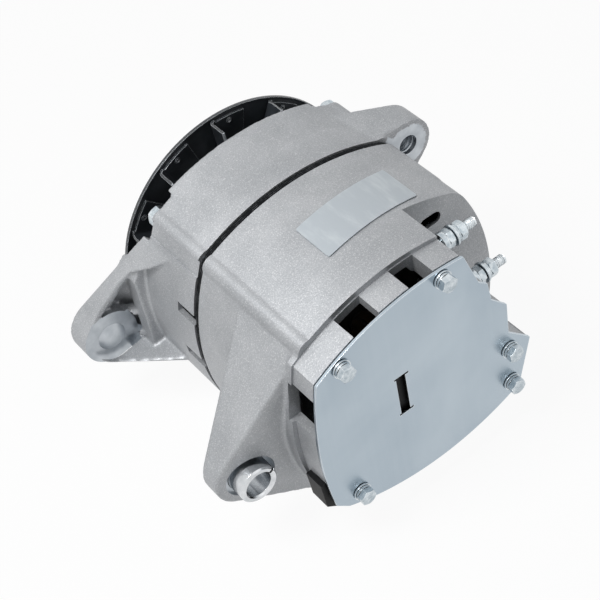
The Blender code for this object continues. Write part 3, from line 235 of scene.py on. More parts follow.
def cast_aluminium():
    """Shot-blasted sand casting: a fine bright grain over slow, faint stains."""
    f = Finish("cast_aluminium", 0.62, Specular_IOR_Level=0.5)
    grain, pits = f.noise(1900, 2, 0.65), f.cells(1300)
    stains, flow = f.noise(38, 4, 0.6), f.noise(240, 3, 0.6)
    tone = f.colours(stains.step(0.32, 0.72), (0.37, 0.384, 0.402), (0.455, 0.469, 0.487))
    tone = f.colours(flow.step(0.35, 0.75) * 0.25, tone, (0.42, 0.43, 0.445))
    tone = f.colours(grain.step(0.52, 0.7) * 0.45, tone, (0.86, 0.86, 0.86))
    tone = f.colours(grain.step(0.47, 0.32) * 0.35, tone, (0.27, 0.275, 0.285))
    f.colour(tone).rough(0.42 + 0.18 * grain)
    f.bump(grain * 0.7 + pits * 0.5, 0.00016, 0.45)
    return f.bump(flow, 0.0003, 0.25).done()


def zinc_sheet():
    """Zinc-plated sheet with a blue passivated film, faint rolling marks and a slight wave."""
    f = Finish("zinc_sheet", 1.0)
    film, rolled = f.noise(17, 3, 0.55, warp=0.4), f.noise(260, 4, 0.6, (1.0, 1.0, 0.04))
    tone = f.colours(film.step(0.25, 0.8), (0.39, 0.46, 0.52), (0.475, 0.545, 0.6))
    tone = f.colours(rolled.step(0.4, 0.75) * 0.03, tone, (0.84, 0.87, 0.89))
    # Painted highlight: a near-white line is painted along the sheet's edges, where its turned edge catches
    # the light.
    tone = f.colours(f.edge(0.0004), tone, (0.9, 0.92, 0.93))
    f.colour(tone).rough(0.26 + 0.06 * rolled)
    f.bump(f.noise(13, 1, 0.4), 0.0008, 0.12)
    return f.bump(rolled, 0.00001, 0.1).done()


def zinc_fastener():
    """Small plated parts: brighter on the worn edges, with a random grey mottle."""
    f = Finish("zinc_fastener", 1.0)
    tone = f.colours(f.noise(420, 3, 0.6).step(0.3, 0.75), (0.4, 0.46, 0.5), (0.68, 0.73, 0.76))
    tone = f.colours(f.edge(0.0005), tone, (0.88, 0.9, 0.91))
    f.colour(tone).rough(0.2 + 0.18 * f.noise(700, 2))
    return f.bump(f.noise(1200, 2), 0.00005, 0.5).done()


def fan_paint():
    """Black paint rubbed to bare steel on the rim and on the blades' cut edges, whose pale tone there is
    partly a painted highlight.
    """
    f = Finish("fan_paint", 0.0, Coat_Roughness=0.12)
    depth = f.along("Y")
    rubbed = f.noise(900, 3, 0.6).step(0.25, 0.6)
    low = AXIS.y + FAN_REAR - BLADE_DEPTH
    rear = 1.0 - depth.step(low + 0.0002, low + 0.0006)
    # Bare steel where the paint is rubbed, made pale partly as a painted highlight on the rim and the blade
    # edges.
    bare_and_highlight = (f.edge(0.0004) + rear).step(0.2, 0.8) * (0.55 + 0.45 * rubbed)
    dust = f.noise(60, 4, 0.6).step(0.35, 0.8)
    tone = f.colours(dust, (0.018, 0.021, 0.025), (0.042, 0.048, 0.056))
    f.colour(f.colours(bare_and_highlight, tone, (0.74, 0.78, 0.82)))
    f.rough(0.26 + 0.1 * f.noise(500, 2)).metal(bare_and_highlight * 0.4).coat(0.5 * (1.0 - bare_and_highlight))
    return f.bump(f.noise(600, 2), 0.00008, 0.3).done()


def lamination():
    """The stack of core sheets: dark varnish, made near-black partly as painted shade in the band between the
    frames, with a thin grey line where each sheet ends.
    """
    f = Finish("lamination", 0.0, Specular_IOR_Level=0.12)
    sheets = f.waves("Y", 310.0, 0.3)
    blotch = f.noise(300, 4, 0.65)
    shown = sheets.step(0.8, 0.98) * blotch.step(0.42, 0.66)
    # The near-black tone is partly the varnish and partly painted shade of the band between the frames.
    tone = f.colours(shown, (0.004, 0.005, 0.006), (0.13, 0.135, 0.145))
    f.colour(tone).rough(0.55 + 0.2 * blotch)
    return f.bump(sheets, 0.00018, 0.8).done()


def copper_wire():
    """Enamelled wire: round strands side by side under amber varnish."""
    f = Finish("copper_wire", 0.85, Coat_Weight=0.5, Coat_Roughness=0.15)
    strands = f.waves("DIAGONAL", 330.0, 2.0)
    # Painted shade and highlight: each strand's crest is painted lighter and the grooves between the strands
    # darker.
    tone = f.colours(strands.step(0.2, 0.9), (0.09, 0.024, 0.01), (0.42, 0.15, 0.055))
    f.colour(f.colours(f.noise(90, 3).step(0.45, 0.8) * 0.6, tone, (0.16, 0.07, 0.03)))
    return f.rough(0.3 + 0.2 * f.noise(300, 2)).bump(strands, 0.00035, 0.9).done()


def two_tone(name, metallic, tone, span, dark, light, rough, height, grain=None, even=False, **fixed):
    """A finish of two tones that one noise mixes over this span.

    A finer noise, where there is one, gives the bump, and the roughness too unless that is even.
    rough holds the least roughness and its range, height the bump's distance and strength.
    """
    f = Finish(name, metallic, **fixed)
    stain = f.noise(*tone)
    fine = f.noise(*grain) if grain else stain
    f.colour(f.colours(stain.step(*span), dark, light))
    f.rough(rough[0] + rough[1] * (stain if even else fine))
    return f.bump(fine, *height).done()


CAST = cast_aluminium()
SHEET = zinc_sheet()
FASTENER = zinc_fastener()
FAN = fan_paint()
CORE = lamination()
COPPER = copper_wire()
MACHINED = two_tone(         # faced and bored, with the cutter's fine rings
    "machined_aluminium", 1.0, (130, 3), (0.3, 0.75), (0.4, 0.43, 0.46), (0.54, 0.57, 0.6),
    (0.26, 0.16), (0.00005, 0.5), (900, 3, 0.6, (1.0, 0.05, 1.0)),
)
STEEL = two_tone(            # turned and ground
    "ground_steel", 1.0, (150, 2), (0.3, 0.8), (0.56, 0.58, 0.6), (0.74, 0.755, 0.77),
    (0.14, 0.14), (0.00003, 0.4), (1500, 2, 0.5, (0.06, 1.0, 0.06)),
)
# Moulded black plastic, made near-black partly as painted shade inside the pod, which shows through the
# cover's slot and windows.
BLACK = two_tone(
    "moulded_black", 0.0, (70, 3), (0.3, 0.8), (0.004, 0.004, 0.005), (0.011, 0.011, 0.012),
    (0.42, 0.2), (0.00008, 0.5), (1300, 2, 0.5), Specular_IOR_Level=0.2,
)
FOIL = two_tone(             # the bare label: pale film with a soft sheen and a few faint rubs
    "blank_foil", 0.25, (150, 4, 0.65, (1.0, 0.25, 1.0)), (0.42, 0.72), (0.53, 0.58, 0.62),
    (0.64, 0.69, 0.72), (0.36, 0.16), (0.00004, 0.4), (700, 2), even=True,
)
VARNISH = two_tone(          # the dark dip varnish over the rectifier's metal
    "insulating_varnish", 0.35, (110, 3, 0.6), (0.3, 0.75), (0.012, 0.012, 0.013),
    (0.04, 0.038, 0.036), (0.35, 0.2), (0.0002, 0.4), Coat_Weight=0.4, Coat_Roughness=0.2,
)
IRON = two_tone(
    "turned_iron", 0.9, (120, 4, 0.6), (0.35, 0.75), (0.2, 0.195, 0.19), (0.36, 0.36, 0.355),
    (0.38, 0.25), (0.00008, 0.5), (1400, 2, 0.5, (0.1, 1.0, 0.1)), even=True,
)
BRASS = two_tone(
    "ring_brass", 1.0, (900, 3, 0.5, (0.05, 1.0, 0.05)), (0.35, 0.7), (0.4, 0.22, 0.09),
    (0.74, 0.5, 0.24), (0.2, 0.2), (0.00004, 0.5),
)
CARBON = two_tone(
    "pressed_carbon", 0.1, (1800, 2, 0.6), (0.4, 0.7), (0.025, 0.025, 0.028), (0.09, 0.09, 0.095),
    (0.45, 0.25), (0.00008, 0.5),
)


# Solids


def linked(name, data):
    item = bpy.data.objects.new(name, data)
    bpy.context.scene.collection.objects.link(item)
    return item


def solid(bm):
    bmesh.ops.recalc_face_normals(bm, faces=bm.faces)
    mesh = bpy.data.meshes.new("shape")
    bm.to_mesh(mesh)
    bm.free()
    return linked("shape", mesh)


def prism(outline, low, high):
    """A straight solid along Y from an outline of (x, z) points."""
    bm = bmesh.new()
    near = [bm.verts.new((x, low, z)) for x, z in outline]
    far = [bm.verts.new((x, high, z)) for x, z in outline]
    bm.faces.new(near)
    bm.faces.new(far[::-1])
    for i in range(len(near)):
        j = (i + 1) % len(near)
        bm.faces.new((near[i], far[i], far[j], near[j]))
    return solid(bm)


def turned(profile, steps=72, x=0.0, z=0.0):
    """A solid of revolution about a line along Y, from (radius, y) points."""
    bm = bmesh.new()
    rings = []
    for radius, y in profile:
        if radius == 0:
            rings.append([bm.verts.new((x, y, z))] * steps)
        else:
            rings.append([bm.verts.new(point) for point in ring_at(radius, y, x, z, steps)])
    for here, there in zip(rings, rings[1:] + rings[:1]):
        for i in range(steps):
            j = (i + 1) % steps
            corners = list(dict.fromkeys((here[i], there[i], there[j], here[j])))
            if len(corners) > 2:
                bm.faces.new(corners)
    return solid(bm)


def rod(radius, low, high, x=0.0, z=0.0, steps=48):
    return turned([(0, low), (radius, low), (radius, high), (0, high)], steps, x, z)


def rods(places, radius, low, high, steps=48):
    return [rod(radius, low, high, x, z, steps) for x, z in places]


def tube(inner, outer, low, high, x=0.0, z=0.0, steps=48):
    return turned([(inner, low), (outer, low), (outer, high), (inner, high)], steps, x, z)


def box(low, high):
    outline = [(low[0], low[2]), (high[0], low[2]), (high[0], high[2]), (low[0], high[2])]
    return prism(outline, low[1], high[1])


def hull(points):
    bm = bmesh.new()
    for point in points:
        bm.verts.new(point)
    made = bmesh.ops.convex_hull(bm, input=bm.verts)
    bmesh.ops.delete(bm, geom=list(set(made["geom_interior"] + made["geom_unused"])), context="VERTS")
    return solid(bm)


def baked(item):
    """Its modifiers turned into plain mesh."""
    graph = bpy.context.evaluated_depsgraph_get()
    made = bpy.data.meshes.new_from_object(item.evaluated_get(graph))
    item.modifiers.clear()
    item.data = made
    return item


def modified(item, kind, **settings):
    modifier = item.modifiers.new(kind.lower(), kind)
    for key, value in settings.items():
        setattr(modifier, key, value)
    return item


def combined(body, tools, operation):
    for tool in tools:
        modified(body, "BOOLEAN", object=tool, operation=operation, solver="MANIFOLD")
        baked(body)
        bpy.data.objects.remove(tool, do_unlink=True)
    return body


def add(body, *tools):
    return combined(body, tools, "UNION")


def cut(body, *tools):
    return combined(body, tools, "DIFFERENCE")


def common(body, *tools):
    return combined(body, tools, "INTERSECT")


def joined(items):
    """One object that holds these meshes side by side."""
    bm = bmesh.new()
    for item in items:
        bm.from_mesh(item.data)
        bpy.data.objects.remove(item, do_unlink=True)
    return solid(bm)


def laid_along_x(item, x, y, z):
    item.data.transform(Matrix.Translation((x, y, z)) @ Matrix.Rotation(-math.pi / 2, 4, "Z"))
    return item


def placed(item, name, body, *finishes, stands_for=(), slot=None, sharp=32.0, flat=True):
    """Names the piece, moves it to its place, gives it its finish and hangs it on its body."""
    item.data.transform(Matrix.Translation(AXIS))
    item.name = item.data.name = name
    kept = [polygon.material_index for polygon in item.data.polygons]
    item.data.materials.clear()
    for finish in finishes:
        item.data.materials.append(finish)
    if len(finishes) > 1:
        item.data.polygons.foreach_set("material_index", [min(k, len(finishes) - 1) for k in kept])
    item.data.shade_smooth()
    item.data.set_sharp_from_angle(angle=math.radians(sharp))
    if flat:
        modified(item, "WEIGHTED_NORMAL", mode="FACE_AREA", weight=50, keep_sharp=True)
        baked(item)
        item.data.name = name
    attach(item, body)
    if stands_for:
        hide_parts(*stands_for)
    return item


# Outlines


def circle(radius, steps=48, x=0.0, z=0.0, start=0.0):
    turns = [start + 2 * math.pi * i / steps for i in range(steps)]
    return [(x + radius * math.cos(a), z + radius * math.sin(a)) for a in turns]


def hexagon(flats, x=0.0, z=0.0):
    return circle(flats / math.sqrt(3), 6, x, z, math.pi / 6)


def polar(radius, degrees):
    return radius * math.cos(math.radians(degrees)), radius * math.sin(math.radians(degrees))


def sector(inner, outer, start, end, steps=10):
    turns = [start + (end - start) * i / steps for i in range(steps + 1)]
    return [polar(outer, t) for t in turns] + [polar(inner, t) for t in reversed(turns)]


def casing_outline(inset=0.0, side_steps=28, corner_steps=10):
    """The bowed square with round corners, this far inside the outer surface."""
    bow, corner, offset = SIDE_BOW - inset, CORNER_RADIUS - inset, SIDE_BOW - HALF_FLAT
    reach = (math.sqrt(2 * (bow - corner) ** 2 - offset**2) - offset) / 2
    half_turn = math.atan2(reach, reach + offset)
    points = []
    for side in range(4):
        base = side * math.pi / 2
        for i in range(side_steps + 1):
            a = base - half_turn + 2 * half_turn * i / side_steps
            x = bow * math.cos(a) - offset * math.cos(base)
            points.append((x, bow * math.sin(a) - offset * math.sin(base)))
        middle = polar(reach * math.sqrt(2), math.degrees(base) + 45)
        for i in range(1, corner_steps):
            a = base + half_turn + (math.pi / 2 - 2 * half_turn) * i / corner_steps
            points.append((middle[0] + corner * math.cos(a), middle[1] + corner * math.sin(a)))
    return points


def arc(start, end, rise, steps):
    """Points from start up to end, on an arc that bulges this far to the right of the way there."""
    first, last = Vector(start), Vector(end)
    chord = last - first
    side = Vector((chord.y, -chord.x)).normalized()
    radius = (chord.length**2 / 4 + rise**2) / (2 * rise)
    centre = (first + last) / 2 + side * (rise - radius)
    sweep = 2 * math.asin(chord.length / (2 * radius))
    spoke = first - centre
    turns = [sweep * i / steps for i in range(steps)]
    spun = [(math.cos(a), math.sin(a)) for a in turns]
    return [(centre.x + spoke.x * c - spoke.y * s, centre.y + spoke.x * s + spoke.y * c) for c, s in spun]


def plate_right_edge():
    h = HALF_FLAT
    return [
        (h - 0.0118, -h + 0.0527), (h - 0.0238, -h + 0.065), (h - 0.0234, -h + 0.0835),
        (h - 0.0315, h - 0.0395), (h - 0.0328, h - 0.028), (h - 0.0372, h - 0.0242), (h - 0.0438, h - 0.0036),
    ]


def plate_outline(inset=0.0, fine=3):
    h = HALF_FLAT
    right = plate_right_edge()
    top_left, low_left = (-h + 0.0074, h - 0.0196), (-h + 0.0043, -h + 0.0336)
    bottom_left, bottom_right = (-h + 0.0106, -h + 0.0275), (h - 0.0231, -h + 0.0253)
    points = [(h - 0.019, -h + 0.0299), *right[:-1]]
    points += arc(right[-1], top_left, 0.0074, 10 * fine)
    points += arc(top_left, low_left, 0.0038, 8 * fine)
    points.append(low_left)
    points += arc(bottom_left, bottom_right, 0.0105, 12 * fine)
    points.append(bottom_right)
    return offset_outline(points, inset) if inset else points


def offset_outline(points, inset):
    moved = []
    for i, point in enumerate(points):
        before, here, after = Vector(points[i - 1]), Vector(point), Vector(points[(i + 1) % len(points)])
        first, second = (here - before).normalized(), (after - here).normalized()
        normals = Vector((-first.y, first.x)), Vector((-second.y, second.x))
        moved.append(tuple(here + (normals[0] + normals[1]) / (1 + normals[0].dot(normals[1])) * inset))
    return moved


def rounded(points, radius, steps=4):
    """The outline with each of its corners turned round."""
    soft = []
    for i, point in enumerate(points):
        here = Vector(point)
        before, after = Vector(points[i - 1]) - here, Vector(points[(i + 1) % len(points)]) - here
        turn = before.angle(after)
        if turn > math.radians(165):
            soft.append(point)
            continue
        reach = min(radius / math.tan(turn / 2), before.length * 0.45, after.length * 0.45)
        start, end = here + before.normalized() * reach, here + after.normalized() * reach
        for k in range(steps + 1):
            t = k / steps
            soft.append(tuple(start * (1 - t) ** 2 + here * 2 * t * (1 - t) + end * t * t))
    return soft


def tie_places():
    return [polar(TIE_RADIUS, 45 + 90 * k) for k in range(4)]


def screw_places():
    h = HALF_FLAT
    return [
        (-h + 0.0205, h - 0.018), (h - 0.056, h - 0.0075), (-h + 0.018, -h + 0.032),
        (h - 0.0245, -h + 0.0545), (h - 0.025, -h + 0.0325),
    ]


def ring_at(radius, y, x, z, steps=48):
    return [(px, y, pz) for px, pz in circle(radius, steps, x, z)]


def barrel(radius, low, high, x, z):
    """The points round both ends of a rod."""
    return ring_at(radius, low, x, z) + ring_at(radius, high, x, z)


def pod_wall_x(z):
    """The outer face of the pod's right wall at this height."""
    edge = offset_outline(plate_outline(0, 1), 0.0008)[1:8]
    for (x0, z0), (x1, z1) in zip(edge, edge[1:]):
        if min(z0, z1) <= z <= max(z0, z1) and z0 != z1:
            return x0 + (x1 - x0) * (z - z0) / (z1 - z0)
    return edge[-1][0]


# Repeats, in Geometry Nodes


SOCKETS = {int: "Int", float: "Float", tuple: "Vector", type(None): "Object"}


def tree(name, **inputs):
    """A geometry tree that is given a piece, these inputs and a finish."""
    net = Net(bpy.data.node_groups.new(name, "GeometryNodeTree"))

    def socket(title, kind, way="INPUT"):
        return net.tree.interface.new_socket(title, in_out=way, socket_type="NodeSocket" + kind)

    socket("Geometry", "Geometry")
    for title, value in inputs.items():
        made = socket(title.replace("_", " "), SOCKETS[type(value)])
        if value is not None:
            made.default_value = value
    socket("Finish", "Material")
    socket("Geometry", "Geometry", "OUTPUT")
    return net, net.node("NodeGroupInput")


def closed(net, given, shape):
    """Ends a tree: real geometry with its material."""
    real = net.node("GeometryNodeRealizeInstances", None, {"Geometry": shape})
    values = {"Geometry": real, "Material": given["Finish"]}
    net.node("NodeGroupOutput", None, {0: net.node("GeometryNodeSetMaterial", None, values)})
    return net.tree


def instanced(net, given, points, **values):
    """Ends a tree with copies of its piece on these points."""
    values = {"Points": points, "Instance": given["Geometry"], **values}
    return closed(net, given, net.node("GeometryNodeInstanceOnPoints", None, values))


def drawn(net, low, high, seed):
    """A number drawn between low and high for each copy."""
    values = {2: low, 3: high, "Seed": seed}
    return net.node("FunctionNodeRandomValue", {"data_type": "FLOAT"}, values, 1)


def ring_tree():
    """Copies of a piece, evenly round the shaft's axis."""
    net, given = tree("ring_of_copies", Count=12, First_Turn=0.0)
    points = net.node("GeometryNodePoints", None, {"Count": given["Count"], "Radius": 0.001})
    turn = given["First Turn"] - net.node("GeometryNodeInputIndex") * (2 * math.pi) / given["Count"]
    spin = net.node("ShaderNodeCombineXYZ", None, {"Y": turn})
    return instanced(net, given, points, Rotation=net.node("FunctionNodeEulerToRotation", None, {0: spin}))


def places_tree():
    """Copies of a piece on the points of a guide, each turned a little about its own axis."""
    net, given = tree("copies_on_places", Places=None, Spin=1.0, Axis=(0.0, 1.0, 0.0), Seed=5)
    places = net.node("GeometryNodeObjectInfo", None, {"Object": given["Places"]}, "Geometry")
    turn = drawn(net, 0.0, given["Spin"], given["Seed"])
    spin = net.node("FunctionNodeAxisAngleToRotation", None, {"Axis": given["Axis"], "Angle": turn})
    return instanced(net, given, places, Rotation=spin)


def stack_tree():
    """Sheets one behind another along the shaft, each a hair narrower than the outline."""
    net, given = tree("stack_of_sheets", Sheets=40, Pitch=0.001, Unevenness=0.002, Seed=3)
    step = net.node("ShaderNodeCombineXYZ", None, {"Y": given["Pitch"]})
    line = net.node("GeometryNodeMeshLine", None, {"Count": given["Sheets"], "Offset": step})
    uneven = drawn(net, 1.0 - given["Unevenness"], 1.0, given["Seed"])
    size = net.node("ShaderNodeCombineXYZ", None, {"X": uneven, "Y": 1.0, "Z": uneven})
    return instanced(net, given, line, Scale=size)


def thread_tree():
    """A ridge wound along +Z, half sunk in its rod: a screw thread's crest."""
    net, given = tree("wound_thread", Turns=8.0, Radius=0.0025, Length=0.006, Ridge=0.0004)
    radius = given["Radius"]
    values = {"Resolution": 28, "Rotations": given["Turns"], "Start Radius": radius, "End Radius": radius}
    coil = net.node("GeometryNodeCurveSpiral", None, {**values, "Height": given["Length"]})
    values = {"Resolution": 4, "Radius": given["Ridge"]}
    section = net.node("GeometryNodeCurvePrimitiveCircle", None, values)
    values = {"Curve": coil, "Profile Curve": section, "Fill Caps": True}
    return closed(net, given, net.node("GeometryNodeCurveToMesh", None, values))


RING, PLACES, STACK, THREAD = ring_tree(), places_tree(), stack_tree(), thread_tree()


def grown(item, group, **values):
    """The plain mesh that a geometry tree makes of this piece, with its inputs set by name."""
    modifier = item.modifiers.new("grow", "NODES")
    modifier.node_group = group
    sockets = {s.name: s.identifier for s in group.interface.items_tree if s.in_out == "INPUT"}
    for title, value in values.items():
        modifier[sockets[title.replace("_", " ")]] = value
    return baked(item)


def guide(points):
    mesh = bpy.data.meshes.new("guide")
    mesh.from_pydata(points, [], [])
    return linked("guide", mesh)


def copies(item, points, finish, spin=1.0, axis=(0.0, 1.0, 0.0), seed=5):
    places = guide(points)
    made = grown(item, PLACES, Places=places, Spin=spin, Axis=axis, Seed=seed, Finish=finish)
    bpy.data.objects.remove(places, do_unlink=True)
    return made


def thread(turns, radius, length, ridge, finish, way, start):
    """A thread's crest wound about a line that runs this way from its start."""
    sizes = {"Turns": float(turns), "Radius": radius, "Length": length, "Ridge": ridge}
    item = grown(guide([(0, 0, 0)]), THREAD, **sizes, Finish=finish)
    turn = Vector((0, 0, 1)).rotation_difference(Vector(way)).to_matrix().to_4x4()
    item.data.transform(Matrix.Translation(start) @ turn)
    return item


# Castings


def sand_cast(item, voxel, passes, faces):
    """Small even faces with every edge and inner corner run soft, as molten metal leaves them."""
    size = voxel if FINE else voxel * 1.8
    modified(item, "REMESH", mode="VOXEL", voxel_size=size, use_smooth_shade=True)
    modified(item, "SMOOTH", factor=0.5, iterations=passes if FINE else max(1, passes // 2))
    baked(item)
    count = sum(len(p.vertices) - 2 for p in item.data.polygons)
    if count > faces:
        modified(item, "DECIMATE", ratio=faces / count, use_collapse_triangulate=True)
        baked(item)
    return item


def machine(body, *tools):
    """Cuts whose new faces carry the second finish."""
    for item in (body, *tools):
        item.data.materials.clear()
        item.data.materials.append(CAST)
        item.data.materials.append(MACHINED)
    for tool in tools:
        tool.data.polygons.foreach_set("material_index", [1] * len(tool.data.polygons))
        cut(body, tool)
    return body


def frame_hollow(open_end, lap_end, closed_end):
    outward = math.copysign(0.001, open_end - closed_end)
    hollow = prism(casing_outline(SKIRT_WALL), *sorted((open_end + outward, lap_end)))
    add(hollow, prism(casing_outline(CASING_WALL), *sorted((lap_end + outward, closed_end))))
    low, high = sorted((open_end + 2 * outward, closed_end - outward))
    return cut(hollow, *rods(tie_places(), RIDGE_RADIUS, low, high, 24))


def front_arm():
    """The drive-end hinge arm: a shell that is open to the rear, with a boss and ribs in it."""
    top, low = HALF_FLAT - 0.0235, -HALF_FLAT + 0.042
    root, skin, wall = -HALF_FLAT + 0.009, DRIVE_FRONT - 0.0002, 0.0036
    points = barrel(FRONT_LUG_RADIUS, *FRONT_LUG, *HINGE)
    points += [(root, skin, top), (root, skin - 0.023, top), (root, skin, low), (root, skin - 0.027, low)]
    arm = hull(points)
    small = FRONT_LUG_RADIUS - wall
    points = barrel(small, BAND, FRONT_LUG[1] - wall - NUDGE, *HINGE)
    for y in (BAND, skin - wall):
        points += [(root, y, top - wall), (root, y, low + wall)]
    cut(arm, cut(hull(points), prism(casing_outline(0.0004), BAND - NUDGE, DRIVE_FRONT + 0.01)))
    cut(arm, flange_relief())
    backing = hull(
        [(root, y, z) for y in (skin - 0.002, skin - 0.0003) for z in (low + 0.0012, top - 0.0012)]
        + [(-0.0706, y, z) for y in (skin - 0.0016, skin + 0.0085) for z in (low + 0.0025, top - 0.022)]
    )
    boss_x = HINGE[0] + FRONT_LUG_RADIUS / 2
    ribs = [
        hull([
            (x, y, z + tilt * (1 if x == root else 0) + up)
            for x, back in ((boss_x, FRONT_LUG[0] + 0.003), (root, skin - 0.011))
            for y in (back, back + 0.007)
            for up in (0.0, 0.0034)
        ])
        for z, tilt in ((-0.009, 0.009), (-0.023, 0.006))
    ]
    crossing = [
        (-0.082, -0.003, 0.06, 0.065), (-0.085, -0.001, 0.06, 0.065),
        (-0.064, 0.027, 0.049, 0.056), (-0.067, 0.029, 0.049, 0.056),
    ]
    ribs.append(hull([(x, ends[side], z) for side in (0, 1) for x, z, *ends in crossing]))
    boss = rod(FRONT_LUG_RADIUS - 0.0004, FRONT_LUG[0] - NUDGE, FRONT_LUG[1] - NUDGE, *HINGE)
    return add(arm, boss, backing, *ribs)


def flange_relief():
    """What is taken from the arm's top flange, whose rear edge runs in a bend from the casing to the lug."""
    edge = [(-0.006, 0.016), (0.0, 0.0208), (0.012, 0.0338), (0.0219, 0.0462), (0.0298, 0.0497)]
    edge += [(0.0371, 0.052), (0.05, 0.055), (0.07, 0.0553), (0.07, 0.0), (-0.006, 0.0)]
    relief = prism(edge, -0.0125, 0.006)
    relief.data.transform(Matrix((
        (-0.641, -0.767, 0, -0.057), (0, 0, 1, 0), (-0.767, 0.641, 0, 0.043), (0, 0, 0, 1),
    )))
    return relief


def adjusting_ear():
    front, h = EAR_REAR + EAR_LENGTH, HALF_FLAT
    points = barrel(EAR_RADIUS, EAR_REAR, front, *EAR)
    points += [(h - 0.019, EAR_REAR + NUDGE, h - 0.0105), (h - 0.023, front + 0.011, h - 0.0085)]
    points += [(h - 0.0035, EAR_REAR + NUDGE, -h + 0.05 + 0.032), (h - 0.0035, front + 0.008, h - 0.05)]
    return hull(points)


def drive_casting():
    hub, hub_rear = 0.03, 0.025
    body = prism(casing_outline(), BAND - TRIM, DRIVE_FRONT)
    add(body, *rods(tie_places(), RIDGE_RADIUS, BAND - TRIM, DRIVE_FRONT))
    add(body, front_arm(), adjusting_ear())
    cut(body, rod(FAN_RADIUS + 0.002, DRIVE_FRONT, FAN_REAR + 0.02, steps=96))
    hollow = frame_hollow(BAND - TRIM, CORE_FRONT + 0.0003, DRIVE_FRONT - DRIVE_WALL)
    cut(body, cut(hollow, rod(hub, hub_rear, DRIVE_FRONT, steps=72)))
    for k in range(8):
        window = rounded(sector(hub + 0.002, HALF_FLAT - 0.012, 45 * k + 11, 45 * k + 34), 0.002)
        cut(body, prism(window, hub_rear, DRIVE_FRONT + NUDGE))
    cut(body, *rods(tie_places(), 0.0122, BOLT_SEAT, DRIVE_FRONT + 0.01))
    sand_cast(body, 0.00075, 3, 170000)
    strip = [(-0.0563, 0.0434), (-0.062, 0.0434), (-0.062, 0.056), (-0.0552, 0.056), (-0.0533, 0.0508)]
    cut(body, box((-REACH, BAND - 0.01, -REACH), (REACH, BAND, REACH)), prism(strip, BAND - NUDGE, BOLT_SEAT))
    for z in (HALF_FLAT - 0.048, -HALF_FLAT + 0.056):
        cut(body, box((-HALF_FLAT - 0.01, BAND - NUDGE, z), (-HALF_FLAT + 0.01, BAND + 0.013, z + 0.0055)))
    machine(
        body,
        rod(FRONT_LUG_RADIUS + 0.001, FRONT_LUG[0] - 0.003, FRONT_LUG[0] + 0.0004, *HINGE),
        rod(FRONT_LUG_BORE, 0.03, 0.08, *HINGE),
        rod(EAR_THREAD, 0.002, 0.035, *EAR),
        rod(EAR_RADIUS + 0.003, BAND - NUDGE, EAR_REAR, *EAR),
        turned([
            (0, 0.02), (0.0238, 0.02), (0.0238, DRIVE_FRONT - 0.0024), (0.0145, DRIVE_FRONT - 0.0024),
            (0.0145, 0.05), (0, 0.05),
        ]),
        *rods(tie_places(), 0.0066, BOLT_SEAT - 0.0004, DRIVE_FRONT + 0.01),
        *rods(tie_places(), 0.0032, 0.0, DRIVE_FRONT + 0.002, 24),
    )
    return placed(
        body, "drive_end_casting", "housing", CAST, MACHINED, stands_for=["drive_end_frame"],
        slot="cast_aluminium", sharp=38,
    )


def rear_web():
    left, h = -HALF_FLAT, HALF_FLAT
    points = barrel(REAR_LUG_RADIUS, REAR_LUG[1], REAR_LUG[0], *HINGE)
    points += [(left + 0.0004, -0.033, 0.002), (-0.0593, SHOULDER + 0.003, h - 0.029)]
    points += [(left + 0.004, -0.033, -0.025), (left + 0.008, SHOULDER + 0.009, -h + 0.019)]
    points += [(-0.0545, -0.027, 0.048), (-0.0586, -0.031, 0.038), (-0.0638, -0.0346, 0.019)]
    points += [(-0.053, SHOULDER + 0.0014, 0.0505)]
    return hull(points)


def pod_windows():
    near, far, h = SHOULDER - 0.0018, POD_REAR - NUDGE, HALF_FLAT
    wall = POD_WALL + 0.004
    return [
        box((-h + 0.0305, far, h - 0.022), (-h + 0.0445, SHOULDER - 0.0004, h + 0.01)),
        box((-h + 0.0605, far, h - 0.016), (-h + 0.0735, SHOULDER - 0.0004, h + 0.01)),
        box((-h - 0.01, far, 0.015), (-h + wall + 0.004, near + 0.004, 0.0365)),
        box((-h - 0.01, far, -h), (-h + 0.019, near - 0.0046, -0.017)),
        box((-0.014, far, -h), (0.004, near, -h + 0.026)),
    ]


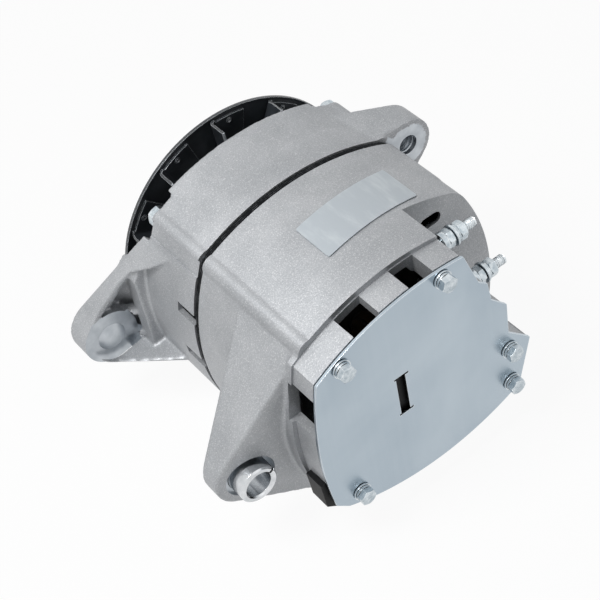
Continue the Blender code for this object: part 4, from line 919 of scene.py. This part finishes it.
def rear_casting():
    hub_front = PARTITION_REAR + PARTITION_THICK + 0.002
    hub_rear, hub = hub_front - 0.0133, 0.022
    body = prism(casing_outline(), SHOULDER - TRIM, TRIM)
    for x, z in tie_places():
        sunk, rear = (0, SHOULDER - TRIM) if x < 0 < z else (0.001, -0.034)
        add(body, rod(RIDGE_RADIUS - sunk, rear, TRIM, x, z))
    add(body, rear_web(), prism(offset_outline(plate_outline(), -0.0006), POD_REAR, SHOULDER + 0.004))
    edge, far = offset_outline(plate_outline(0, 1), 0.0008)[1:8], HALF_FLAT + 0.03
    notch = [(far, edge[0][1]), *edge, (edge[-1][0], far), (far, far)]
    low_notch = [(far, -0.0305), (0.0508, -0.0305), (0.0552, -0.0128), (far, -0.0128)]
    hollow = frame_hollow(TRIM, CORE_REAR - 0.0003, PARTITION_REAR + PARTITION_THICK)
    cut(body, cut(hollow, rod(hub, PARTITION_REAR, hub_front)))
    hollow = prism(offset_outline(plate_outline(0, 1), POD_WALL), POD_REAR - NUDGE, PARTITION_REAR)
    cut(hollow, rod(hub, hub_rear, PARTITION_REAR + NUDGE))
    cut(hollow, *rods(screw_places(), 0.0054, POD_REAR - 0.002, PARTITION_REAR + NUDGE))
    cut(body, hollow)
    front = PARTITION_REAR + PARTITION_THICK + NUDGE
    for a in (80, 110, 140, 200, 232, 296):
        window = rounded(sector(hub + 0.0015, 0.0335, a, a + 24), 0.002)
        cut(body, prism(window, PARTITION_REAR - NUDGE, front))
    x, z = HALF_FLAT - 0.0305, HALF_FLAT - 0.019
    slot = []
    for side, start in ((1, -90), (-1, 90)):
        for i in range(17):
            a = math.radians(start + 180 * i / 16)
            slot.append((x + side * 0.0028 + 0.0035 * math.cos(a), z + 0.0035 * math.sin(a)))
    cut(body, prism(slot, PARTITION_REAR - NUDGE, front))
    cut(body, box((x - 0.011, PARTITION_REAR + 0.0024, z - 0.0075), (x + 0.011, front, z + 0.006)))
    sand_cast(body, 0.00082, 3, 185000)
    step = box((-REACH, POD_REAR - NUDGE, -REACH), (REACH, SHOULDER, REACH))
    cut(step, prism(offset_outline(plate_outline(), 0.0004), POD_REAR - 0.002, SHOULDER + NUDGE))
    cut(body, box((-REACH, 0.0, -REACH), (REACH, 0.01, REACH)), step)
    cut(body, *(prism(outline, POD_REAR - 0.01, PARTITION_REAR) for outline in (notch, low_notch)))
    cut(body, *pod_windows())
    lug = REAR_LUG
    holes = [(OUTPUT_Z, 0.0049), (GROUND_Z, 0.0028)]
    machine(
        body,
        rod(0.015, lug[1], 0.0, *HINGE),
        rod(0.0118, lug[0] - 0.03, lug[0] + 0.0006, *HINGE),
        rod(BUSH_OUTER + 0.0002, -0.09, -0.03, *HINGE),
        turned([
            (0, -0.056), (0.0105, -0.056), (0.0105, hub_rear + 0.002), (0.0178, hub_rear + 0.002),
            (0.0178, -0.035), (0, -0.035),
        ]),
        *(laid_along_x(rod(r, -0.012, 0.008, steps=32), pod_wall_x(z), STUD_Y, z) for z, r in holes),
        *rods(screw_places(), 0.0024, POD_REAR - NUDGE, POD_REAR + 0.012, 24),
        *rods(tie_places(), 0.0032, -0.031, 0.001, 24),
    )
    return placed(
        body, "rear_casting", "housing", CAST, MACHINED, stands_for=["rear_frame"],
        slot="cast_aluminium", sharp=38,
    )


def core_stack():
    """The core's thin sheets, which show as a dark band between the frames."""
    pitch = 360 / 36
    teeth = []
    for k in range(36):
        mid, half = k * pitch, pitch * 0.26
        teeth += [polar(CORE_BORE, mid - pitch / 2), polar(CORE_BORE, mid - half)]
        teeth += [polar(CORE_BORE + 0.0088, mid - half), polar(CORE_BORE + 0.0088, mid + half)]
        teeth += [polar(CORE_BORE, mid + half)]
    shown = casing_outline(0.0007, 24, 8)
    hidden = casing_outline(SKIRT_WALL + 0.0003, 20, 6)
    stacks = []
    for outline, low, high, sheets, hole in (
        (hidden, CORE_REAR, 0.0, 17, RIDGE_RADIUS + 0.0006),
        (shown, 0.0002, BAND - 0.0003, 6, 0.0031),
        (hidden, BAND, CORE_FRONT, 17, RIDGE_RADIUS + 0.0006),
    ):
        step = (high - low) / sheets
        sheet = prism(outline, low, low + step * 0.84)
        cut(sheet, prism(teeth, low - NUDGE, low + 0.002))
        cut(sheet, *rods(tie_places(), hole, low - NUDGE, low + 0.002, 16))
        stacks.append(grown(sheet, STACK, Sheets=sheets, Pitch=step, Unevenness=0.003, Seed=3, Finish=CORE))
    sheets = joined(stacks)
    return placed(sheets, "core_sheets", "housing", CORE, stands_for=["stator_core"], slot="core_steel")


# Fan and shaft


def fan_disc():
    rear, front, r = FAN_REAR, FAN_REAR + FAN_THICK, FAN_RADIUS
    body = turned([
        (0.0088, rear), (0.02, rear), (0.0205, rear + 0.0002), (r - 0.0014, rear + 0.0002),
        (r - 0.0008, rear), (r - 0.0002, rear), (r, rear + 0.0003), (r, front - 0.0004),
        (r - 0.0004, front), (r - 0.004, front), (r - 0.0046, front - 0.0004),
        (0.03, front - 0.0004), (0.029, front), (0.0088, front),
    ], 144)
    return placed(body, "fan_disc", "rotor", FAN, stands_for=["fan"], slot="black_paint")


def fan_blades():
    """A bent strip of sheet: a foot on the disc, a bend and the blade, and its copies round the disc."""
    rows = []
    middle, bend = FAN_REAR - 0.0007, 0.002
    for share in (1.0, 0.82, 0.64, 0.46, 0.28, 0.14):
        rows.append((-17.0 * share, middle, 0.048 + 0.0012 * (1 - share), 0.0632))
    for i in range(5):
        a = math.pi / 2 * i / 4
        tangent = math.degrees((bend * (math.sin(a) - 1)) / 0.055)
        inner = 0.049 if i < 2 else BLADE_INNER + 0.0125 * (4 - i) / 4
        rows.append((tangent, middle - bend * (1 - math.cos(a)), inner, BLADE_OUTER - 0.0004))
    for depth in (0.005, 0.008, 0.01, BLADE_DEPTH):
        rows.append((0.0, FAN_REAR - depth, BLADE_INNER, BLADE_OUTER - 0.0001))
    bm = bmesh.new()
    across = 8
    grid = []
    for turn, y, inner, outer in rows:
        row = []
        for k in range(across + 1):
            x, z = polar(inner + (outer - inner) * k / across, turn)
            row.append(bm.verts.new((x, y, z)))
        grid.append(row)
    for here, there in zip(grid, grid[1:]):
        for k in range(across):
            bm.faces.new((here[k], here[k + 1], there[k + 1], there[k]))
    strip = solid(bm)
    modified(strip, "SOLIDIFY", thickness=0.0013, offset=0.0)
    modified(strip, "BEVEL", width=0.00018, segments=2, limit_method="ANGLE", angle_limit=math.radians(50))
    baked(strip)
    weld = turned([(0, 0), (0.0005, 0), (0.0009, -0.0003), (0.0014, 0), (0.0014, 0.0004), (0, 0.0004)], 16)
    x, z = polar(0.0605, -9.0)
    weld.data.transform(Matrix.Translation((x, FAN_REAR - 0.0014, z)))
    strip = joined([strip, weld])
    grown(strip, RING, Count=BLADES, First_Turn=-math.radians(BLADE_FIRST), Finish=FAN)
    return placed(strip, "fan_blades", "rotor", FAN, slot="black_paint")


def hex_solid(flats, low, high, chamfer_low=True, chamfer_high=True, bore=0.0):
    """A hexagon with its corners turned off at the ends, and a hole if it is a nut."""
    corner = flats / math.sqrt(3)
    drop, face = corner * 0.115, flats * 0.47
    profile = [(0, low)]
    profile += [(face, low), (corner * 1.001, low + drop)] if chamfer_low else [(corner * 1.001, low)]
    profile += [(corner * 1.001, high - drop), (face, high)] if chamfer_high else [(corner * 1.001, high)]
    profile.append((0, high))
    body = common(prism(hexagon(flats), low - 0.0001, high + 0.0001), turned(profile, 60))
    if bore:
        depth = bore * 0.12
        cut(body, turned([
            (0, low - NUDGE), (bore + depth + NUDGE, low - NUDGE), (bore, low + depth), (bore, high - depth),
            (bore + depth + NUDGE, high + NUDGE), (0, high + NUDGE),
        ], 40))
    return body


def split_washer(inner, outer, low, high):
    """A spring washer, cut through at an angle."""
    ring = tube(inner, outer, low, high, steps=40)
    gap = box((inner * 0.5, low - NUDGE, -0.0004), (outer * 1.3, high + NUDGE, 0.0004))
    return cut(ring, gap)


def softened(item, width, segments=2):
    limit = {"limit_method": "ANGLE", "angle_limit": math.radians(35)}
    modified(item, "BEVEL", width=width, segments=segments, **limit)
    return baked(item)


def cover_screws():
    """Hexagon screws with a spring washer and a flat washer each."""
    seat = PLATE_HIGH - PLATE_THICK - 0.0003
    flat = softened(tube(0.0022, 0.0045, seat - 0.0008, seat), 0.00012)
    spring = softened(split_washer(0.0022, 0.004, seat - 0.002, seat - 0.001), 0.0001)
    head = softened(hex_solid(0.0074, seat - 0.0054, seat - 0.0022, True, False), 0.00018)
    shank = rod(0.0021, seat - 0.002, POD_REAR + 0.011, steps=24)
    screw = joined([flat, spring, head, shank])
    screws = copies(screw, [(x, 0, z) for x, z in screw_places()], FASTENER, NUT_SPIN, seed=11)
    names = [f"cover_screw_{i}" for i in range(1, 6)]
    return placed(screws, "cover_screws", "housing", FASTENER, stands_for=names, slot="zinc_plate")


def through_bolts():
    """The heads of the long bolts that draw the two frames together."""
    seat = BOLT_SEAT - 0.0001
    head = softened(hex_solid(0.0088, seat, seat + 0.0042, False, True), 0.0002)
    shank = rod(0.0029, -0.03, seat + 0.0005, steps=24)
    bolt = joined([head, shank])
    bolts = copies(bolt, [(x, 0, z) for x, z in tie_places()], FASTENER, NUT_SPIN, seed=4)
    names = [f"through_bolt_{i}" for i in range(1, 5)]
    return placed(bolts, "through_bolts", "housing", FASTENER, stands_for=names, slot="zinc_plate")


def shaft_end():
    """The nut and washer on the shaft's threaded end, and the thread itself."""
    low = FAN_REAR + FAN_THICK + 0.0003
    washer = softened(tube(0.0088, 0.015, low, low + 0.0025, steps=64), 0.0003)
    placed(washer, "nut_washer", "rotor", FASTENER, stands_for=["shaft_washer"], slot="zinc_plate")
    nut = softened(hex_solid(0.024, low + 0.0028, low + 0.0158, True, True, 0.0083), 0.0003)
    placed(nut, "clamp_nut", "rotor", FASTENER, stands_for=["shaft_nut"], slot="zinc_plate")
    tip = SHAFT_FRONT
    body = turned([
        (0, -0.078), (0.0055, -0.078), (0.0065, -0.077), (0.0065, -0.053), (0.0075, -0.053),
        (0.0075, -0.0387), (0.0093, -0.0387), (0.0093, -0.0202), (0.011, -0.0202), (0.011, 0.024),
        (0.0103, 0.024), (0.0103, 0.0287), (0.0085, 0.0287), (0.0085, low), (0.0074, low + 0.0003),
        (0.0074, tip - 0.0018), (0.006, tip - 0.0002), (0.0057, tip), (0.0022, tip),
        (0.0004, tip - 0.002), (0, tip - 0.002),
    ], 56)
    length = tip - 0.0022 - (low + 0.0165)
    wound = thread(length / 0.0015, 0.00735, length, 0.00062, STEEL, (0, 1, 0), (0, low + 0.0165, 0))
    shaft = joined([body, wound])
    placed(shaft, "threaded_shaft", "rotor", STEEL, stands_for=["shaft"], slot="bright_steel")


# Rear plate, terminals and small parts


def rear_plate():
    """The plated cover, with round corners, a turned edge and its lanced slot."""
    low = PLATE_HIGH - PLATE_THICK
    body = prism(rounded(plate_outline(), 0.0012), low, low + 0.0013)
    add(body, prism(offset_outline(plate_outline(), 0.0012), low + 0.0006, PLATE_HIGH))
    x, z, across, along = -0.018, 0.0075, 0.005 / 2, 0.024 / 2
    below, above = low - NUDGE, PLATE_HIGH + NUDGE
    slot = prism(rounded([(x + i * across, z + k * along) for i, k in CORNERS], 0.0006), below, above)
    ends = []
    for end in (-1, 1):
        at = z + end * (along - 0.0005)
        ends.append(box((x - 0.0034, below, at - 0.0005), (x + 0.0044, above, at + 0.0005)))
    cut(body, box((x - 0.008, low + 0.0008, z - 0.015), (x + 0.008, above, z + 0.015)))
    cut(body, add(slot, *ends))
    cut(body, *rods(screw_places(), 0.0024, below, above, 32))
    softened(body, 0.00028)
    return placed(
        body, "plated_cover", "housing", SHEET, stands_for=["rear_cover_plate"], slot="zinc_plate", sharp=50,
    )


def label():
    """The blank label, bent to the bowed top."""
    middle, skew, across, along = (0.0075, -0.0335), 0.09, 0.052 / 2, 0.0235 / 2
    outline = rounded([(i * across, k * along) for i, k in CORNERS], 0.0012, 5)
    bm = bmesh.new()
    bm.faces.new([bm.verts.new((x, y, 0)) for x, y in outline])
    for i in range(1, 16):
        place, parts = (-across + 2 * across * i / 16, 0, 0), bm.verts[:] + bm.edges[:] + bm.faces[:]
        bmesh.ops.bisect_plane(bm, geom=parts, plane_co=place, plane_no=(1, 0, 0))
    made = bmesh.ops.extrude_face_region(bm, geom=bm.faces[:])
    raised = [v for v in made["geom"] if isinstance(v, bmesh.types.BMVert)]
    bmesh.ops.translate(bm, verts=raised, vec=(0, 0, 0.00035))
    for vert in bm.verts:
        x, y, up = vert.co
        x += middle[0]
        radius = SIDE_BOW + 0.0003 + up
        height = HALF_FLAT - SIDE_BOW + math.sqrt(radius**2 - x**2)
        vert.co = (x, y + middle[1] + (x - middle[0]) * skew, height)
    return placed(
        solid(bm), "blank_label", "housing", FOIL, stands_for=["name_plate"], slot="label_foil", sharp=50,
    )


def bush():
    """The split bush in the rear lug, with chamfered ends."""
    c, rear, front = 0.0008, BUSH_REAR, -0.0465
    body = turned([
        (BUSH_BORE, rear + c), (BUSH_BORE + c, rear), (BUSH_OUTER - c, rear), (BUSH_OUTER, rear + c),
        (BUSH_OUTER, front), (BUSH_BORE, front),
    ], 72)
    slit = box((0, BUSH_REAR - NUDGE, -0.0007), (0.012, -0.045, 0.0007))
    slit.data.transform(Matrix.Rotation(-math.radians(28), 4, "Y"))
    softened(cut(body, slit), 0.0002)
    body.data.transform(Matrix.Translation((HINGE[0], 0, HINGE[1])))
    return placed(body, "split_steel_bush", "bush", STEEL, stands_for=["split_bush"], slot="zinc_plate")


def ear_thread():
    length, pitch = 0.016, 0.00175
    start = (EAR[0], EAR_REAR + 0.0012, EAR[1])
    wound = thread(length / pitch, EAR_THREAD + 0.0001, length, 0.00055, MACHINED, (0, 1, 0), start)
    return placed(wound, "adjusting_thread", "housing", MACHINED, slot="cast_aluminium")


def terminals():
    """Both studs, each with a base nut, washers and an outer nut."""
    base = softened(hex_solid(0.008, 0.0026, 0.0062, True, True, 0.0027), 0.00015)
    flat = softened(tube(0.0028, 0.0052, 0.0064, 0.0074), 0.0001)
    spring = softened(split_washer(0.0028, 0.0044, 0.0076, 0.0088), 0.0001)
    outer = softened(hex_solid(0.008, 0.009, 0.013, True, True, 0.0027), 0.00015)
    seat = tube(0.0028, 0.0046, 0.0, 0.0024)
    fittings = laid_along_x(joined([seat, base, flat, spring, outer]), 0, 0, 0)
    studs = (("output_stud", OUTPUT_Z, 0.0104, 0.0024), ("ground_stud", GROUND_Z, 0.0051, 0.0003))
    points = [(pod_wall_x(z) + out, STUD_Y, z) for _, z, _, out in studs]
    copies(fittings, points, FASTENER, NUT_SPIN, (1.0, 0.0, 0.0), 8)
    names = [f"terminal_nut_{i}" for i in range(1, 5)] + ["terminal_washer_1", "terminal_washer_2"]
    placed(fittings, "terminal_nuts", "housing", FASTENER, stands_for=names, slot="zinc_plate")
    for name, z, inside, out in studs:
        wall = pod_wall_x(z) + out
        stud = turned([(0, -inside), (0.0023, -inside), (0.0023, 0.0188), (0.0017, 0.0195), (0, 0.0195)], 32)
        head = hex_solid(0.008, -inside - 0.0035, -inside, True, False)
        stud = laid_along_x(joined([stud, head]), wall, STUD_Y, z)
        start = (wall + 0.001, STUD_Y, z)
        wound = thread(18.0 / 0.8, 0.00222, 0.018, 0.00032, FASTENER, (1, 0, 0), start)
        stud = joined([stud, wound])
        placed(stud, name + "_threaded", "housing", FASTENER, stands_for=[name], slot="zinc_plate")


NODE_FINISHES = {
    COPPER: ("stator_winding", "field_coil"),
    STEEL: (
        "front_bearing_outer_ring", "front_bearing_inner_ring", "front_bearing_ball_cage",
        "rear_bearing_outer_ring", "rear_bearing_inner_ring", "rear_bearing_ball_cage",
        "bearing_snap_ring", "fan_spacer", "brush_spring_1", "brush_spring_2",
    ),
    VARNISH: ("positive_heat_sink", "negative_heat_sink", *(f"rectifier_diode_{i}" for i in range(1, 7))),
    BLACK: (
        "inner_cover", "rectifier_insulator", "voltage_regulator", "brush_holder", "stud_insulator",
        "field_bobbin", "slip_ring_sleeve",
    ),
    CARBON: ("brush_1", "brush_2"),
    IRON: ("rotor_pole_front", "rotor_pole_rear"),
    BRASS: ("slip_ring_1", "slip_ring_2"),
}


def finish_nodes():
    """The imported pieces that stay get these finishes."""
    for material, names in NODE_FINISHES.items():
        for name in names:
            NODES[name].data.materials.clear()
            NODES[name].data.materials.append(material)


# Floor, light and camera

FLOOR_HALF, FLOOR_LOW = 6, -0.0002
FLOOR_GLOW = 0.94            # of the floor's white where it is seen, and the rest takes the shadow
WORLD_FILL = 0.08            # of the world's white that lights the object


def backdrop_share(net):
    """1 where the backdrop is looked at straight, in a reflection or through a clear piece."""
    rays = net.node("ShaderNodeLightPath")
    unseen = 1.0 - rays["Is Camera Ray"]
    for ray in ("Is Glossy Ray", "Is Transmission Ray"):
        unseen = unseen * (1.0 - rays[ray])
    return 1.0 - unseen


def studio():
    mesh = bpy.data.meshes.new("floor")
    corners = [(i * FLOOR_HALF, k * FLOOR_HALF, FLOOR_LOW) for i, k in CORNERS]
    mesh.from_pydata(corners, [], [(0, 1, 2, 3)])
    floor = linked("floor", mesh)
    paper = Finish("floor_paper", 0.0)
    paper.colour((0.92, 0.92, 0.92)).rough(0.9)
    glow = paper.node("ShaderNodeEmission", None, {"Color": (1, 1, 1, 1), "Strength": 1.0})
    shaded = Wire(paper, paper.shader.outputs[0])
    values = {0: backdrop_share(paper) * FLOOR_GLOW, 1: shaded, 2: glow}
    mixed = paper.node("ShaderNodeMixShader", None, values)
    paper.tree.links.new(mixed.socket, paper.tree.nodes["Material Output"].inputs["Surface"])
    floor.data.materials.append(paper.done())
    for name, size, power, place, aim in (
        ("key", 0.36, 7.4, (-0.46, 0.0, 0.93), (0, 0, 0.06)),
        ("rear", 1.2, 1.0, (0.5, -1.4, 1.3), (0, 0, 0.05)),
    ):
        lamp = bpy.data.lights.new(name, "AREA")
        lamp.shape, lamp.size, lamp.energy = "SQUARE", size, power
        item = linked(name, lamp)
        item.location = place
        item.rotation_euler = (Vector(aim) - Vector(place)).to_track_quat("-Z", "Y").to_euler()
    world = bpy.data.worlds.new("studio")
    world.use_nodes = True
    bpy.context.scene.world = world
    net = Net(world.node_tree)
    sky = world.node_tree.nodes["Background"]
    sky.inputs["Color"].default_value = (1, 1, 1, 1)
    strength = WORLD_FILL + (1.0 - WORLD_FILL) * backdrop_share(net)
    net.tree.links.new(strength.socket, sky.inputs["Strength"])
    bpy.context.scene.view_settings.view_transform = "Standard"


def camera():
    """The photograph's viewpoint, found by fitting its lens and place to the object's known sizes."""
    data = bpy.data.cameras.new("view")
    data.lens, data.sensor_width = 94.88, 36.0
    data.clip_start, data.clip_end = 0.05, 30.0
    item = linked("view", data)
    right, up, back = (0.7857, -0.5987, -0.1555), (0.5269, 0.5161, 0.6753), (-0.3241, -0.6125, 0.721)
    turn = Matrix((right, up, back)).transposed()
    item.rotation_euler = turn.to_euler()
    item.location = Vector((-0.25165, -0.45453, 0.53137)) + AXIS
    bpy.context.scene.camera = item


drive_casting()
rear_casting()
core_stack()
fan_disc()
fan_blades()
cover_screws()
through_bolts()
shaft_end()
rear_plate()
label()
bush()
ear_thread()
terminals()
finish_nodes()
studio()
camera()
